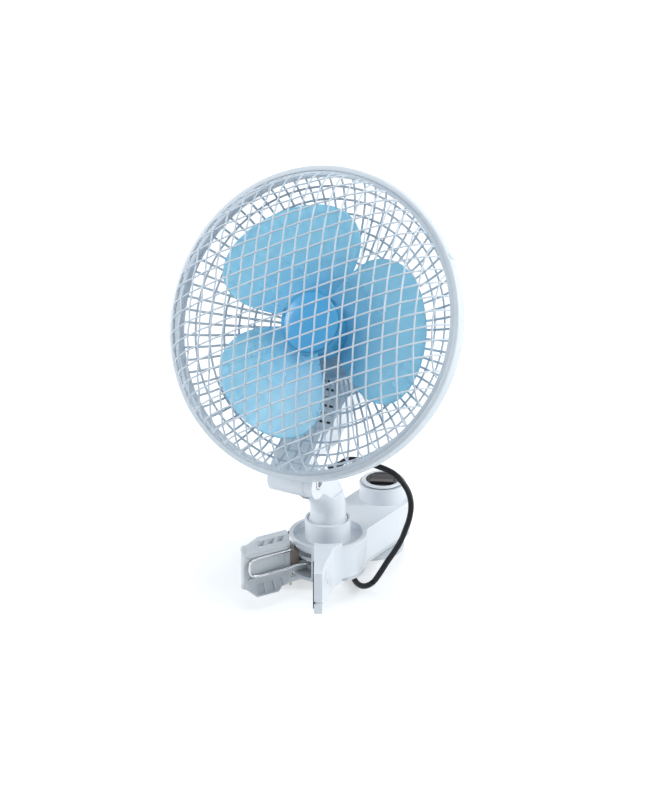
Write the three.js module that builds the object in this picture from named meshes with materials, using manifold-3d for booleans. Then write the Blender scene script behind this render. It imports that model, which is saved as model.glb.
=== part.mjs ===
// Clip fan. Millimetres, +Z up. The origin lies on the grip face of the fixed jaw, the fan looks towards -Y.
// The head tilts on a half-lap knuckle, the neck pans in a socket ring, and a scissor clip holds the whole.
import * as THREE from "three";
import { mergeVertices } from "three/addons/utils/BufferGeometryUtils.js";
import Module from "manifold-3d";

const wasm = await Module();
wasm.setup();

// ---- fits ----
const GAP = 0.3; // clearance between two pieces that touch or turn on each other
const WALL = 2.2; // moulded wall
const FLATNESS = 0.05; // facets flatter than this against their neighbours are merged
const deg = Math.PI / 180;

// ---- clip body: neck axis at x = 0, y = 0, top of the lobe at z = 0 ----
const GRIP_FACE = new THREE.Vector3(-9, -50, -10); // the mount's point on the fixed jaw, the part's origin
const LOBE_R = 23.7;
const BODY_DEPTH = 21;
const TAIL_HALF = 17.7;
const BARREL = new THREE.Vector2(33.7, 49.9);
const BARREL_R = 14.4;
const BARREL_TOP = 10.3;
const RING_R = 14;
const RING_TOP = 10;
const MOAT_R = 21.3;
const MOAT_DEPTH = 4;
const COVER_THICK = 2.3;

// ---- fixed jaw ----
const JAW_TIP_Y = -63;
const JAW_TIP_THICK = 5;
const JAW_ROOT_Y = -25;
const JAW_ROOT_THICK = 12;
const JAW_TOP = 3;
const JAW_BOTTOM = -24;
const PAD_THICK = 1.2;
const PAD_PROUD = 0.6; // the pad's grip face stands this far off the jaw's own face

// ---- moving jaw, laid out along its own s axis from the pin ----
const PIN = new THREE.Vector2(-9, -5.3);
const JAW_REST = 210.6; // direction of the moving jaw at rest, degrees from +X
const PIN_R = 1.6;
const KNUCKLE_R = 4.3;
const WEB_START = 16.8;
const WEB_END = 48.9;
const WEB_THICK = 3;
const WEB_TOP = 1.3;
const WEB_BOTTOM = -21.6;
const WING_FLARE = 27 * deg;
const WING_THICK = 2.4;
const WING_HEIGHT = 9.2;
const LEVER_TOP = -24.2;
const LEVER_THICK = 3.2;
const LEVER_PAD = new THREE.Vector2(26, 36);
const LEVER_PAD_R = 21;
const SPRING_WIRE_R = 1;

// ---- neck ----
const NECK_R = 11;
const NECK_YAW = 27.8 * deg; // the head faces this far to the left of -Y
const NECK_TILT = 28.8 * deg; // and looks up by this much
const HINGE_REACH = 28.8;
const HINGE_Z = 47.5;
const KNUCKLE_DISC_R = 10;
const LAP_LEFT = 3.2; // the housing's foot ends here along the hinge axis
const LAP_RIGHT = 9.5; // outer face of the neck's disc
const FOOT_START = -21;
const BOLT_R = 2;

// ---- head: x along the hinge, y up the fan, z out of the front ----
const HEAD_UP = 92.4;
const HEAD_OUT = 35.7;
const HOOP_R = 95;
const HOOP_HALF = 6;
const MESH_R = 90.6;
const BORDER_IN = 88.8;
const BORDER_OUT = 92;
const DOME_BASE = 4;
const DOME_RISE = 34;
const WIRE_A = { pitch: 9.15, angle: 29.4 * deg }; // from one upright wire to the next
const WIRE_B = { pitch: 8.83, angle: 99.2 * deg }; // from one level wire to the next
const WIRE_HALF = 0.66;
const WIRE_DEPTH = 1.25;
const SPOKES = 48;
const PLATE_R = 31;
const PLATE_Z = -28.3;
const CAN_R = 33;
const CAN_FRONT = -29.2;
const CAN_BACK = -58;
const SHAFT_R = 2;
const HUB_R = 20.35;
const HUB_FRONT = 7;
const HUB_BACK = -13;
const BLADE_TIP_R = 73;
const BLADE_HALF = 51 * deg;
const BLADE_PITCH = 9;
const BLADE_THICK = 1.6;

// ---- cord ----
const CORD_R = 1.8;
const FLOOR = -40;
const COIL = new THREE.Vector2(-2, 56);
const COIL_OUT = 25.2;
const COIL_IN = 10.8;
const COIL_TALL = 7.2; // two layers of cord

// ---- colours ----
const paint = (name, color, roughness, more = {}) => {
  const made = new THREE.MeshStandardMaterial({ color, roughness, ...more });
  made.name = name;
  return made;
};
const whitePlastic = paint("white_plastic", 0xe9eef2, 0.4);
const greyPlastic = paint("grey_white_plastic", 0xc3ccd2, 0.5);
const bluePlastic = paint("clear_blue_plastic", 0x8fd0ef, 0.25, { transparent: true, opacity: 0.85 });
const deepBlue = paint("deep_blue_plastic", 0x2f9fe0, 0.3);
const blackPlastic = paint("black_plastic", 0x17191c, 0.45);
const rubber = paint("black_rubber", 0x1b1c1e, 0.8);
const steel = paint("bright_steel", 0xc9cdd0, 0.25, { metalness: 0.9 });
const laminate = paint("dark_laminate", 0x565b60, 0.5, { metalness: 0.7 });
const copper = paint("copper_wire", 0xb4683a, 0.4, { metalness: 0.8 });
const brass = paint("brass", 0xc9a456, 0.35, { metalness: 0.9 });

// ---- solids ----
// A closed geometry as a solid that can be joined and cut.
function solid(geometry) {
  const flat = geometry.index ? geometry.toNonIndexed() : geometry;
  const bare = new THREE.BufferGeometry();
  bare.setAttribute("position", flat.getAttribute("position"));
  const merged = mergeVertices(bare, 1e-4);
  const source = merged.index.array;
  const build = (turned) => {
    const faces = [];
    for (let i = 0; i < source.length; i += 3) {
      const a = source[i];
      const b = source[i + 1];
      const c = source[i + 2];
      if (a === b || b === c || c === a) continue;
      if (turned) faces.push(a, c, b);
      else faces.push(a, b, c);
    }
    return new wasm.Manifold(
      new wasm.Mesh({
        numProp: 3,
        vertProperties: new Float32Array(merged.attributes.position.array),
        triVerts: new Uint32Array(faces),
      }),
    );
  };
  const made = build(false);
  return made.volume() < 0 ? build(true) : made;
}
const join = (...parts) => wasm.Manifold.union(parts);
const cut = (body, ...tools) => body.subtract(wasm.Manifold.union(tools));
const placed = (body, matrix) => body.transform(matrix.elements);

function meshOf(name, body, material) {
  const data = body.simplify(FLATNESS).getMesh();
  const stride = data.numProp;
  const points = new Float32Array(data.numVert * 3);
  for (let i = 0; i < data.numVert; i++) {
    points.set(data.vertProperties.subarray(i * stride, i * stride + 3), i * 3);
  }
  const geometry = new THREE.BufferGeometry();
  geometry.setAttribute("position", new THREE.BufferAttribute(points, 3));
  geometry.setIndex(new THREE.BufferAttribute(new Uint32Array(data.triVerts), 1));
  geometry.computeVertexNormals();
  const mesh = new THREE.Mesh(geometry, material);
  mesh.name = name;
  return mesh;
}

// An upright cylinder or cone from z0 to z1.
function drum(r0, z0, z1, sides = 32, x = 0, y = 0, r1 = r0) {
  const g = new THREE.CylinderGeometry(r1, r0, z1 - z0, sides);
  g.rotateX(Math.PI / 2);
  g.translate(x, y, (z0 + z1) / 2);
  return solid(g);
}
function block(x0, x1, y0, y1, z0, z1) {
  const g = new THREE.BoxGeometry(x1 - x0, y1 - y0, z1 - z0);
  g.translate((x0 + x1) / 2, (y0 + y1) / 2, (z0 + z1) / 2);
  return solid(g);
}
// A flat outline drawn up from z0 to z1.
function slab(shape, z0, z1, curveSegments = 8) {
  const g = new THREE.ExtrudeGeometry(shape, { depth: z1 - z0, bevelEnabled: false, curveSegments });
  g.translate(0, 0, z0);
  return solid(g);
}
function outline(...corners) {
  return new THREE.Shape(corners.map(([x, y]) => new THREE.Vector2(x, y)));
}
// A profile of [radius, height] turned about z.
function turned(profile, sides = 48) {
  const g = new THREE.LatheGeometry(
    profile.map(([r, z]) => new THREE.Vector2(r, z)),
    sides,
  );
  g.rotateX(Math.PI / 2);
  return solid(g);
}
function ring(rIn, rOut, z0, z1, sides = 48) {
  return turned([[rIn, z0], [rOut, z0], [rOut, z1], [rIn, z1], [rIn, z0]], sides);
}
// A round section drawn along a smooth line through the points.
function rod(points, r, sides = 8, steps = 40) {
  const path = new THREE.CatmullRomCurve3(points, false, "centripetal");
  const section = new THREE.Shape();
  for (let i = 0; i < sides; i++) {
    const t = (2 * Math.PI * i) / sides;
    if (i === 0) section.moveTo(r * Math.cos(t), r * Math.sin(t));
    else section.lineTo(r * Math.cos(t), r * Math.sin(t));
  }
  section.closePath();
  return solid(new THREE.ExtrudeGeometry(section, { steps, bevelEnabled: false, extrudePath: path }));
}
const at = (x, y, z) => new THREE.Vector3(x, y, z);

// The area that lies within half of the line from a to b.
function stadium(a, b, half, sides = 10) {
  const way = Math.atan2(b.y - a.y, b.x - a.x);
  const corners = [];
  for (let i = 0; i <= sides; i++) {
    const t = way + Math.PI / 2 + (Math.PI * i) / sides;
    corners.push([a.x + half * Math.cos(t), a.y + half * Math.sin(t)]);
  }
  for (let i = 0; i <= sides; i++) {
    const t = way - Math.PI / 2 + (Math.PI * i) / sides;
    corners.push([b.x + half * Math.cos(t), b.y + half * Math.sin(t)]);
  }
  return outline(...corners);
}
// A wedge of a disc between two angles in degrees, with its point on the neck axis.
function wedge(r, from, to, z0, z1, steps = 4) {
  const corners = [[0, 0]];
  for (let i = 0; i <= steps; i++) {
    const t = (from + ((to - from) * i) / steps) * deg;
    corners.push([r * Math.cos(t), r * Math.sin(t)]);
  }
  return slab(outline(...corners), z0, z1);
}

const NECK_AXIS = new THREE.Vector2(0, 0);
const tailWay = BARREL.clone().normalize();
const tailPoint = (along, across) => [
  tailWay.x * along - tailWay.y * across,
  tailWay.y * along + tailWay.x * across,
];

// ---- clip body ----
function clipBody() {
  const shell = join(
    drum(LOBE_R, -BODY_DEPTH, 0, 40),
    slab(stadium(NECK_AXIS, BARREL, TAIL_HALF), -BODY_DEPTH, 0),
    drum(RING_R, -1, RING_TOP, 32),
    drum(BARREL_R, -1, BARREL_TOP, 32, BARREL.x, BARREL.y),
  );
  const plateUnder = -MOAT_DEPTH - WALL;
  const tailCavity = slab(stadium(NECK_AXIS, BARREL, TAIL_HALF - WALL), -BODY_DEPTH - 1, -WALL);
  const lobeKeep = drum(LOBE_R + 1, plateUnder, 1, 36);
  const cavity = join(
    drum(LOBE_R - WALL, -BODY_DEPTH - 1, plateUnder, 40),
    cut(tailCavity, lobeKeep),
    drum(BARREL_R - WALL, -WALL - 1, BARREL_TOP + 1, 32, BARREL.x, BARREL.y),
  );
  const moat = cut(drum(MOAT_R, -MOAT_DEPTH, 1, 40), drum(RING_R, -MOAT_DEPTH - 1, 2, 32));
  const socket = join(
    drum(NECK_R + GAP, plateUnder - 1, RING_TOP + 1, 32),
    drum(NECK_R + 1 + 2 * GAP, 6, RING_TOP + 1, 32),
  );
  const mouth = wedge(LOBE_R + 6, 196, 244.5, -BODY_DEPTH - 1, -2.6);
  const keepCore = drum(MOAT_R - 0.4, -BODY_DEPTH - 2, 1, 36);
  let body = cut(shell, cavity, moat, socket, cut(mouth, keepCore));
  // The shelf that holds the top of the pin.
  const shelf = join(drum(8.6, -13, -11, 28, PIN.x, PIN.y), wedge(LOBE_R - 1, 150, 196, -13, -11));
  body = join(body, shelf.intersect(drum(LOBE_R - 1, -14, -10, 48)));
  // Bosses for the two screws of the cover.
  for (const [x, y] of SCREWS) body = join(body, drum(3.4, -BODY_DEPTH, -1.2, 14, x, y));
  // Holes for the pin and the two screws.
  body = cut(body, drum(PIN_R + GAP, -14, -10, 20, PIN.x, PIN.y));
  for (const [x, y] of SCREWS) body = cut(body, drum(1.3, -BODY_DEPTH - 1, -10, 12, x, y));
  return join(body, fixedJaw());
}
const SCREWS = [tailPoint(32, -10.5), tailPoint(32, 10.5)];

// The fixed jaw: a flat grip face towards -X, and a back that thickens towards the lobe.
function fixedJaw() {
  const inner = GRIP_FACE.x + PAD_PROUD;
  const top = outline(
    [inner, JAW_TIP_Y],
    [inner + JAW_TIP_THICK, JAW_TIP_Y],
    [inner + JAW_TIP_THICK + 1.6, JAW_TIP_Y + 14],
    [inner + JAW_ROOT_THICK, JAW_ROOT_Y - 3],
    [inner + JAW_ROOT_THICK + 5, JAW_ROOT_Y + 3.5],
    [inner + JAW_ROOT_THICK + 5, -20],
    [inner, -20],
  );
  let jaw = slab(top, JAW_BOTTOM, JAW_TOP);
  const lobeHole = drum(LOBE_R - 1.2, -40, 20, 40);
  jaw = cut(jaw, lobeHole);
  // A shallow ledge across the end face near the bottom.
  const ledgeZ = JAW_BOTTOM + 6.4;
  const ledge = block(inner - 1, inner + 8, JAW_TIP_Y - 1, JAW_TIP_Y + 1.1, ledgeZ, ledgeZ + 1.6);
  // The recess that takes the pad, and the pip hole in the back.
  const [y0, y1, z0, z1] = PAD_AREA;
  const depth = PAD_THICK - PAD_PROUD + GAP;
  const bed = block(inner - 1, inner + depth, y0 - GAP, y1 + GAP, z0 - GAP, z1 + GAP);
  const pip = new THREE.CylinderGeometry(0.7, 0.7, 3, 10);
  pip.rotateZ(Math.PI / 2);
  pip.translate(inner + JAW_ROOT_THICK - 4.2, -38, -7);
  return cut(jaw, ledge, bed, solid(pip));
}

const PAD_AREA = [-62, -40, -21, 0]; // along the jaw, then up it
function fixedPad() {
  const face = GRIP_FACE.x;
  const [y0, y1, z0, z1] = PAD_AREA;
  let pad = block(face, face + PAD_THICK, y0, y1, z0, z1);
  for (let y = y0 + 3; y < y1 - 1; y += 4) {
    pad = cut(pad, block(face - 1, face + 0.4, y - 0.6, y + 0.6, z0 - 1, z1 + 1));
  }
  return pad;
}

function clipCover() {
  const z1 = -BODY_DEPTH - GAP;
  const z0 = z1 - COVER_THICK;
  let cover = join(
    drum(LOBE_R - 0.4, z0, z1, 48),
    slab(stadium(NECK_AXIS, BARREL, TAIL_HALF - 0.4), z0, z1),
  );
  cover = cut(cover, drum(KNUCKLE_R + 0.6, z0 - 1, z1 + 1, 28, PIN.x, PIN.y));
  // Clear of the jaw's root.
  cover = cut(cover, block(GRIP_FACE.x, 12, -40, -19.8, z0 - 1, z1 + 1));
  for (const [x, y] of SCREWS) {
    cover = cut(cover, drum(1.3 + GAP, z0 - 1, z1 + 1, 12, x, y), drum(2.9, z0 - 1, z0 + 1.1, 16, x, y));
  }
  return cover;
}

function coverScrew([x, y]) {
  const z0 = -BODY_DEPTH - GAP - COVER_THICK;
  const head = drum(2.5, z0 - 0.2, z0 + 0.8, 16, x, y);
  const shank = drum(1.0, z0 + 0.5, -12, 10, x, y);
  const slots = join(
    block(x - 1.6, x + 1.6, y - 0.3, y + 0.3, z0 - 1, z0 + 0.3),
    block(x - 0.3, x + 0.3, y - 1.6, y + 1.6, z0 - 1, z0 + 0.3),
  );
  return cut(join(head, shank), slots);
}

// ---- moving jaw, in its own frame: x along the jaw, y towards the fixed jaw, z up ----
function jawMatrix() {
  const m = new THREE.Matrix4().makeRotationZ(JAW_REST * deg);
  return m.setPosition(PIN.x, PIN.y, 0);
}
const WING_WINDOWS = [22.4, 29, 35.6];
const ROD_Z = [-4.9, -16.6];

function jawWing(top) {
  // Outline along the jaw and out along the flare.
  const near = WEB_START + 1;
  const upper = [[WEB_END, 1.4], [40.6, WING_HEIGHT], [20.4, WING_HEIGHT], [near, 5]];
  const lower = [[WEB_END, 1.2], [41.2, WING_HEIGHT], [27, WING_HEIGHT], [near, 3]];
  const shape = outline([near, 0], [WEB_END, 0], ...(top ? upper : lower));
  let wing = slab(shape, -WING_THICK, 0);
  for (const s of WING_WINDOWS) {
    wing = cut(wing, block(s, s + 4.6, 1.6, WING_HEIGHT - 1.6, -1.3, 1));
  }
  // A lip along the outer edge.
  const [lipFrom, lipTo] = top ? [20.6, 40.4] : [27.2, 41];
  wing = join(wing, block(lipFrom, lipTo, WING_HEIGHT - 1, WING_HEIGHT, -0.2, 0.7));
  const side = top ? 1 : -1;
  const m = new THREE.Matrix4().makeBasis(
    at(1, 0, 0),
    at(0, Math.sin(WING_FLARE), side * Math.cos(WING_FLARE)),
    at(0, Math.cos(WING_FLARE), -side * Math.sin(WING_FLARE)),
  );
  m.setPosition(0, 0, top ? WEB_TOP - 0.4 : WEB_BOTTOM + 0.4);
  return placed(wing, m);
}

function movingJaw() {
  let web = block(WEB_START, WEB_END, -WEB_THICK, 0, WEB_BOTTOM, WEB_TOP);
  web = join(web, jawWing(true), jawWing(false));
  // Rounded corners at the free end, a shallow panel between the spring legs.
  web = join(
    web,
    solid(new THREE.SphereGeometry(2.4, 14, 8).translate(WEB_END - 1.2, -1.2, WEB_TOP + 1)),
    solid(new THREE.SphereGeometry(2.4, 14, 8).translate(WEB_END - 1.2, -1.2, WEB_BOTTOM - 1)),
  );
  web = cut(web, block(WEB_START + 3, WEB_END - 5, -0.7, 1, -14.8, -6.9));
  // Low rails that the legs lie between.
  for (const z of ROD_Z) {
    const inward = z > -10 ? -1 : 1;
    const z0 = z - inward * (SPRING_WIRE_R + GAP);
    const z1 = z0 - inward;
    web = join(web, block(WEB_START + 2, WEB_END - 3, -0.4, 1.1, Math.min(z0, z1), Math.max(z0, z1)));
  }
  const armTop = -16.6;
  const arm = block(0, WEB_START + 1, -WEB_THICK, 0, -20.7, armTop);
  const gusset = block(WEB_START - 0.4, WEB_START + 2, -WEB_THICK, 0, WEB_BOTTOM, WEB_TOP);
  let jaw = join(web, arm, gusset, drum(KNUCKLE_R, LEVER_TOP - 1, -13.4, 28));
  jaw = placed(jaw, jawMatrix());
  // The paddle that opens the jaw, under the clip body.
  const away = LEVER_PAD.clone().sub(PIN).normalize();
  const lever = join(
    slab(stadium(PIN, LEVER_PAD, 6.5, 10), LEVER_TOP - LEVER_THICK, LEVER_TOP),
    drum(LEVER_PAD_R, LEVER_TOP - LEVER_THICK, LEVER_TOP, 32, LEVER_PAD.x, LEVER_PAD.y),
  );
  let ribbed = lever;
  for (let i = -1; i <= 1; i++) {
    const c = LEVER_PAD.clone().addScaledVector(away, 6 * i);
    const groove = new THREE.BoxGeometry(1.2, 24, 1.2);
    groove.rotateZ(Math.atan2(away.y, away.x));
    groove.translate(c.x, c.y, LEVER_TOP - LEVER_THICK);
    ribbed = cut(ribbed, solid(groove));
  }
  jaw = join(jaw, ribbed);
  return cut(jaw, drum(PIN_R + GAP, LEVER_TOP - LEVER_THICK - 1, -12, 20, PIN.x, PIN.y));
}

function jawPin() {
  const foot = LEVER_TOP - LEVER_THICK - GAP;
  return join(drum(PIN_R, foot - 0.5, -10.6, 16, PIN.x, PIN.y), drum(3, foot - 1, foot, 20, PIN.x, PIN.y));
}

// One wire: a turn round the knuckle, out along the jaw, round the end and back.
function jawSpring() {
  const lift = SPRING_WIRE_R + 1.5 * GAP;
  const mean = KNUCKLE_R + GAP + SPRING_WIRE_R + 0.1;
  const points = [];
  const steps = 10;
  for (let i = 0; i <= steps; i++) {
    const t = (430 - (340 * i) / steps) * deg;
    points.push(at(mean * Math.cos(t), mean * Math.sin(t), -12.0 - 2.6 - (0.55 * i) / steps));
  }
  points.push(at(mean, mean - 0.9, -15.3));
  points.push(at(WEB_START - 4.5, lift + 0.9, -15.6));
  points.push(at(WEB_START + 2, lift, ROD_Z[1]));
  points.push(at(WEB_START + 12, lift, ROD_Z[1]));
  points.push(at(WEB_END - 8, lift, ROD_Z[1]));
  points.push(at(WEB_END - 4.6, lift, ROD_Z[1] + 1));
  points.push(at(WEB_END - 3.4, lift, ROD_Z[1] + 3.6));
  points.push(at(WEB_END - 3.4, lift, ROD_Z[0] - 3.6));
  points.push(at(WEB_END - 4.6, lift, ROD_Z[0] - 1));
  points.push(at(WEB_END - 8, lift, ROD_Z[0]));
  points.push(at(WEB_START + 12, lift, ROD_Z[0]));
  points.push(at(WEB_START + 2, lift, ROD_Z[0]));
  points.push(at(WEB_START - 0.6, lift, ROD_Z[0] + 0.3));
  return placed(rod(points, SPRING_WIRE_R, 6, 64), jawMatrix());
}

// ---- switch ----
const SWITCH_R = 10.4;
const ROCKER_WIDE = 7.2;
const ROCKER_LONG = 7.6;
function switchBezel() {
  const seat = BARREL_TOP + GAP;
  const body = join(
    drum(SWITCH_R, seat, seat + 1.2, 28, BARREL.x, BARREL.y),
    drum(BARREL_R - WALL - GAP, 1, seat + 0.4, 28, BARREL.x, BARREL.y),
  );
  const rimIn = BARREL_R - WALL - 1;
  const rimOut = BARREL_R - WALL + 0.5;
  const flange = turned([[rimIn, 0], [rimOut, 0], [rimOut, 0.9], [rimIn, 1.3], [rimIn, 0]], 28);
  const bezel = join(body, placed(flange, new THREE.Matrix4().makeTranslation(BARREL.x, BARREL.y, seat)));
  const m = switchMatrix();
  const wide = ROCKER_WIDE + GAP;
  const long = ROCKER_LONG + GAP;
  const well = placed(block(-wide, wide, -long, long, -6.5, 5), m);
  const axle = placed(axleRod(1.2 + GAP, ROCKER_WIDE + 1.6), m);
  return cut(bezel, well, axle);
}
function switchMatrix() {
  const m = new THREE.Matrix4().makeRotationZ(-6 * deg);
  return m.setPosition(BARREL.x, BARREL.y, BARREL_TOP);
}
function axleRod(r, half) {
  const g = new THREE.CylinderGeometry(r, r, 2 * half, 14);
  g.rotateZ(Math.PI / 2);
  g.translate(0, 0, -1.6);
  return solid(g);
}
function switchRocker() {
  // A shallow V on top, rounded below so that it turns in its well.
  const side = new THREE.Shape();
  const h = ROCKER_LONG - 1.1;
  side.moveTo(-h, 2.9);
  side.lineTo(0, 1.5);
  side.lineTo(h, 1.9);
  side.lineTo(h, 0.2);
  side.lineTo(3.4, -4);
  side.lineTo(-3.4, -4);
  side.lineTo(-h, 0.2);
  const g = new THREE.ExtrudeGeometry(side, { depth: 2 * ROCKER_WIDE, bevelEnabled: false });
  g.translate(0, 0, -ROCKER_WIDE);
  // Outline's x runs along y, its y runs up.
  g.applyMatrix4(new THREE.Matrix4().makeBasis(at(0, 1, 0), at(0, 0, 1), at(1, 0, 0)));
  return placed(join(solid(g), axleRod(1.2, ROCKER_WIDE + 1.3)), switchMatrix());
}

// ---- neck ----
const faceLevel = new THREE.Vector3(-Math.sin(NECK_YAW), -Math.cos(NECK_YAW), 0);
const hingeAxis = new THREE.Vector3(Math.cos(NECK_YAW), -Math.sin(NECK_YAW), 0);
const faceWay = faceLevel.clone().multiplyScalar(Math.cos(NECK_TILT)).setZ(Math.sin(NECK_TILT));
const upWay = faceWay.clone().cross(hingeAxis);
const HINGE = faceLevel.clone().multiplyScalar(HINGE_REACH).setZ(HINGE_Z);

// A cylinder along the hinge axis, from p0 to p1 beside the neck.
function hingeDrum(r, p0, p1, sides = 32) {
  const body = drum(r, p0, p1, sides);
  const m = new THREE.Matrix4().makeBasis(faceLevel, at(0, 0, -1), hingeAxis);
  return placed(body, m.setPosition(HINGE));
}
const along = (k, z) => faceLevel.clone().multiplyScalar(k).setZ(z);

function neck() {
  const bend = [along(0, 8), along(0, 20), along(3.6, 28), along(9.6, 35.6)];
  const outer = rod([along(0, -7), ...bend, along(17.5, 41.6), along(26, 45.6)], NECK_R, 20, 10);
  const bore = rod([along(0, -20), ...bend], NECK_R - 3.4, 14, 6);
  const lapCut = hingeDrum(KNUCKLE_DISC_R + 2.2, -30, LAP_LEFT + GAP, 32);
  const rightCut = hingeDrum(60, LAP_RIGHT - 0.4, LAP_RIGHT + 20, 24).intersect(drum(60, 30, 70, 24));
  let body = join(
    cut(outer, rightCut),
    drum(NECK_R + 1, 6 + GAP, RING_TOP - GAP, 32),
    drum(9, -10.3, -9.3, 28),
    drum(8, -9.8, -6.2, 28),
    hingeDrum(KNUCKLE_DISC_R, 0.5, LAP_RIGHT, 32),
  );
  // The lap, the bolt hole, the nut recess and the cord hole.
  body = cut(body, lapCut);
  body = cut(body, bore, drum(5, -12, -5, 20));
  body = cut(body, hingeDrum(BOLT_R + GAP, 0, 20, 20), hingeDrum(4.4 + GAP, LAP_RIGHT - 2.6, 20, 6));
  body = cut(body, glandDrum(2.6 + GAP, -10.5, 8, 14));
  return body;
}
// The gland's axis: out of the back of the elbow.
const GLAND = at(4.2, 6.4, 40.6);
const GLAND_WAY = at(0.72, 0.66, 0.2).normalize();
function glandDrum(r, from, to, sides = 20, r1 = r) {
  const body = drum(r, from, to, sides, 0, 0, r1);
  const q = new THREE.Quaternion().setFromUnitVectors(at(0, 0, 1), GLAND_WAY);
  return placed(body, new THREE.Matrix4().makeRotationFromQuaternion(q).setPosition(GLAND));
}

function neckRetainer() {
  return cut(ring(8 + GAP, 13.2, -9, -7.3, 28), block(-20, 0, -3, 3, -20, 0));
}
function tiltBolt() {
  const shank = hingeDrum(BOLT_R, FOOT_START + 1.4, LAP_RIGHT - 1, 16);
  const head = hingeDrum(4, FOOT_START - 1.6, FOOT_START + 1.5, 24);
  const slot = hingeDrum(1.6, FOOT_START - 3, FOOT_START - 0.6, 6);
  return cut(join(shank, head), slot);
}
function tiltNut() {
  return cut(hingeDrum(4.4, LAP_RIGHT - 2.3, LAP_RIGHT + 0.5, 6), hingeDrum(BOLT_R + GAP, 0, 20, 16));
}

// ---- head, drawn in its own frame ----
const headMatrix = new THREE.Matrix4().makeBasis(hingeAxis, upWay, faceWay);
const HEAD = HINGE.clone().addScaledVector(faceWay, HEAD_OUT).addScaledVector(upWay, HEAD_UP);
headMatrix.setPosition(HEAD);

// The outline of the motor column: a disc round the shaft that runs down to the hinge.
function teardrop(grow) {
  const top = CAN_R + grow;
  const low = 12.5 + grow;
  const lowAt = [-7, -62];
  const corners = [];
  for (let i = 0; i <= 16; i++) {
    const t = (-12 + (200 * i) / 16) * deg;
    corners.push([top * Math.cos(t), top * Math.sin(t)]);
  }
  corners.push([-23.5 - grow, -38]);
  for (let i = 0; i <= 8; i++) {
    const t = (188 + (164 * i) / 8) * deg;
    corners.push([lowAt[0] + low * Math.cos(t), lowAt[1] + low * Math.sin(t)]);
  }
  corners.push([13 + grow, -40]);
  return outline(...corners);
}
function footDrum(r, p0, p1, sides = 32) {
  const body = drum(r, p0, p1, sides);
  const m = new THREE.Matrix4().makeBasis(at(0, 0, -1), at(0, 1, 0), at(1, 0, 0));
  return placed(body, m.setPosition(0, -HEAD_UP, -HEAD_OUT));
}
// A shape drawn in the plane of [up the head, out of the head], from p0 to p1 along the hinge axis.
function acrossSlab(corners, p0, p1) {
  const body = slab(outline(...corners), p0, p1);
  return placed(body, new THREE.Matrix4().makeBasis(at(0, 1, 0), at(0, 0, 1), at(1, 0, 0)));
}
// The space that the bent neck takes behind the foot when the head is tilted right back.
function neckSweep() {
  const low = -HEAD_UP;
  const out = -HEAD_OUT;
  const side = [
    [low + 10.6, out + 5],
    [low + 23.4, out - 22.6],
    [low + 26, out - 40],
    [low - 30, out - 40],
    [low - 30, out + 5],
  ];
  const space = acrossSlab(side, -12.4, 60);
  return cut(space, footDrum(KNUCKLE_DISC_R + 1.7, -40, 70));
}
function motorHousing() {
  const face = CAN_FRONT - GAP;
  const shoulder = CAN_FRONT - 5;
  const can = turned([[0, face], [CAN_R - 5, face], [CAN_R, shoulder], [CAN_R, CAN_BACK], [0, CAN_BACK]], 36);
  const column = slab(teardrop(0), -58, -38);
  const foot = footDrum(KNUCKLE_DISC_R, FOOT_START, LAP_LEFT);
  const boss = drum(9, CAN_FRONT - 1, -21.6, 24);
  const ankle = acrossSlab(
    [
      [-HEAD_UP, -HEAD_OUT - 9.4], [-70, -57.6], [-56, -57.6], [-56, -38.2],
      [-72, -32], [-86, -27.2], [-HEAD_UP, -26.1],
    ],
    FOOT_START,
    LAP_LEFT,
  );
  let body = join(can, column, cut(ankle, neckSweep()), foot, boss);
  body = cut(body, neckSweep());
  // Hollow for the motor and down the column, open at the back of the can.
  const inside = teardrop(-WALL);
  const innerFace = CAN_FRONT - 2.6;
  const boreR = CAN_R - WALL;
  const inBack = CAN_BACK - 1;
  const hollow = join(
    turned(
      [[0, innerFace], [CAN_R - 6.5, innerFace], [boreR, shoulder - 1.2], [boreR, inBack], [0, inBack]],
      36,
    ),
    cut(slab(inside, -58 + WALL, -38 - WALL), block(-60, 60, -120, -64, -80, 0)),
  );
  body = cut(body, hollow);
  // Keep the foot's clearance round the neck's disc on the right.
  body = cut(body, footDrum(KNUCKLE_DISC_R + 1.2, LAP_LEFT, 40));
  // Seat for the front bearing, shaft hole, bolt hole.
  body = join(body, drum(8, CAN_FRONT - 6.4, CAN_FRONT - 1, 28));
  body = cut(body, drum(4.2 + GAP, CAN_FRONT - 8, CAN_FRONT - 2.4, 24), drum(SHAFT_R + 0.6, -40, -20, 20));
  body = cut(body, footDrum(BOLT_R + GAP, -40, 20, 20));
  body = cut(body, footDrum(4 + GAP, FOOT_START - 3, FOOT_START + 1.8, 20));
  // Vent slots, one above the other, through the front of the column.
  for (let i = 0; i < 7; i++) {
    const q = -55.7 + 4.9 * i;
    body = cut(body, block(-7.6, 0.2, q - 0.7, q + 0.7, -44, -28));
  }
  return body;
}
function motorCover() {
  const z1 = CAN_BACK - GAP;
  const shell = turned(
    [
      [0, z1 - 12.5], [17, z1 - 12], [26.5, z1 - 9.2], [31.4, z1 - 4.6], [CAN_R, z1],
      [CAN_R - WALL, z1], [29.4, z1 - 3.6], [25, z1 - 7.2], [16, z1 - 9.8], [8, z1 - 10.2],
      [8, z1 - 5.6], [4.2 + GAP, z1 - 5.6], [4.2 + GAP, z1 - 10.2], [0, z1 - 10.2],
    ],
    32,
  );
  let body = shell;
  for (let i = 0; i < 8; i++) {
    const t = ((45 * i + 22.5) * Math.PI) / 180;
    const slot = new THREE.BoxGeometry(9, 2, 20);
    slot.translate(20, 0, z1 - 10);
    slot.rotateZ(t);
    body = cut(body, solid(slot));
  }
  return body;
}
const STACK_FRONT = -40.5; // the laminations' front face
const STACK_THICK = 12;
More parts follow.
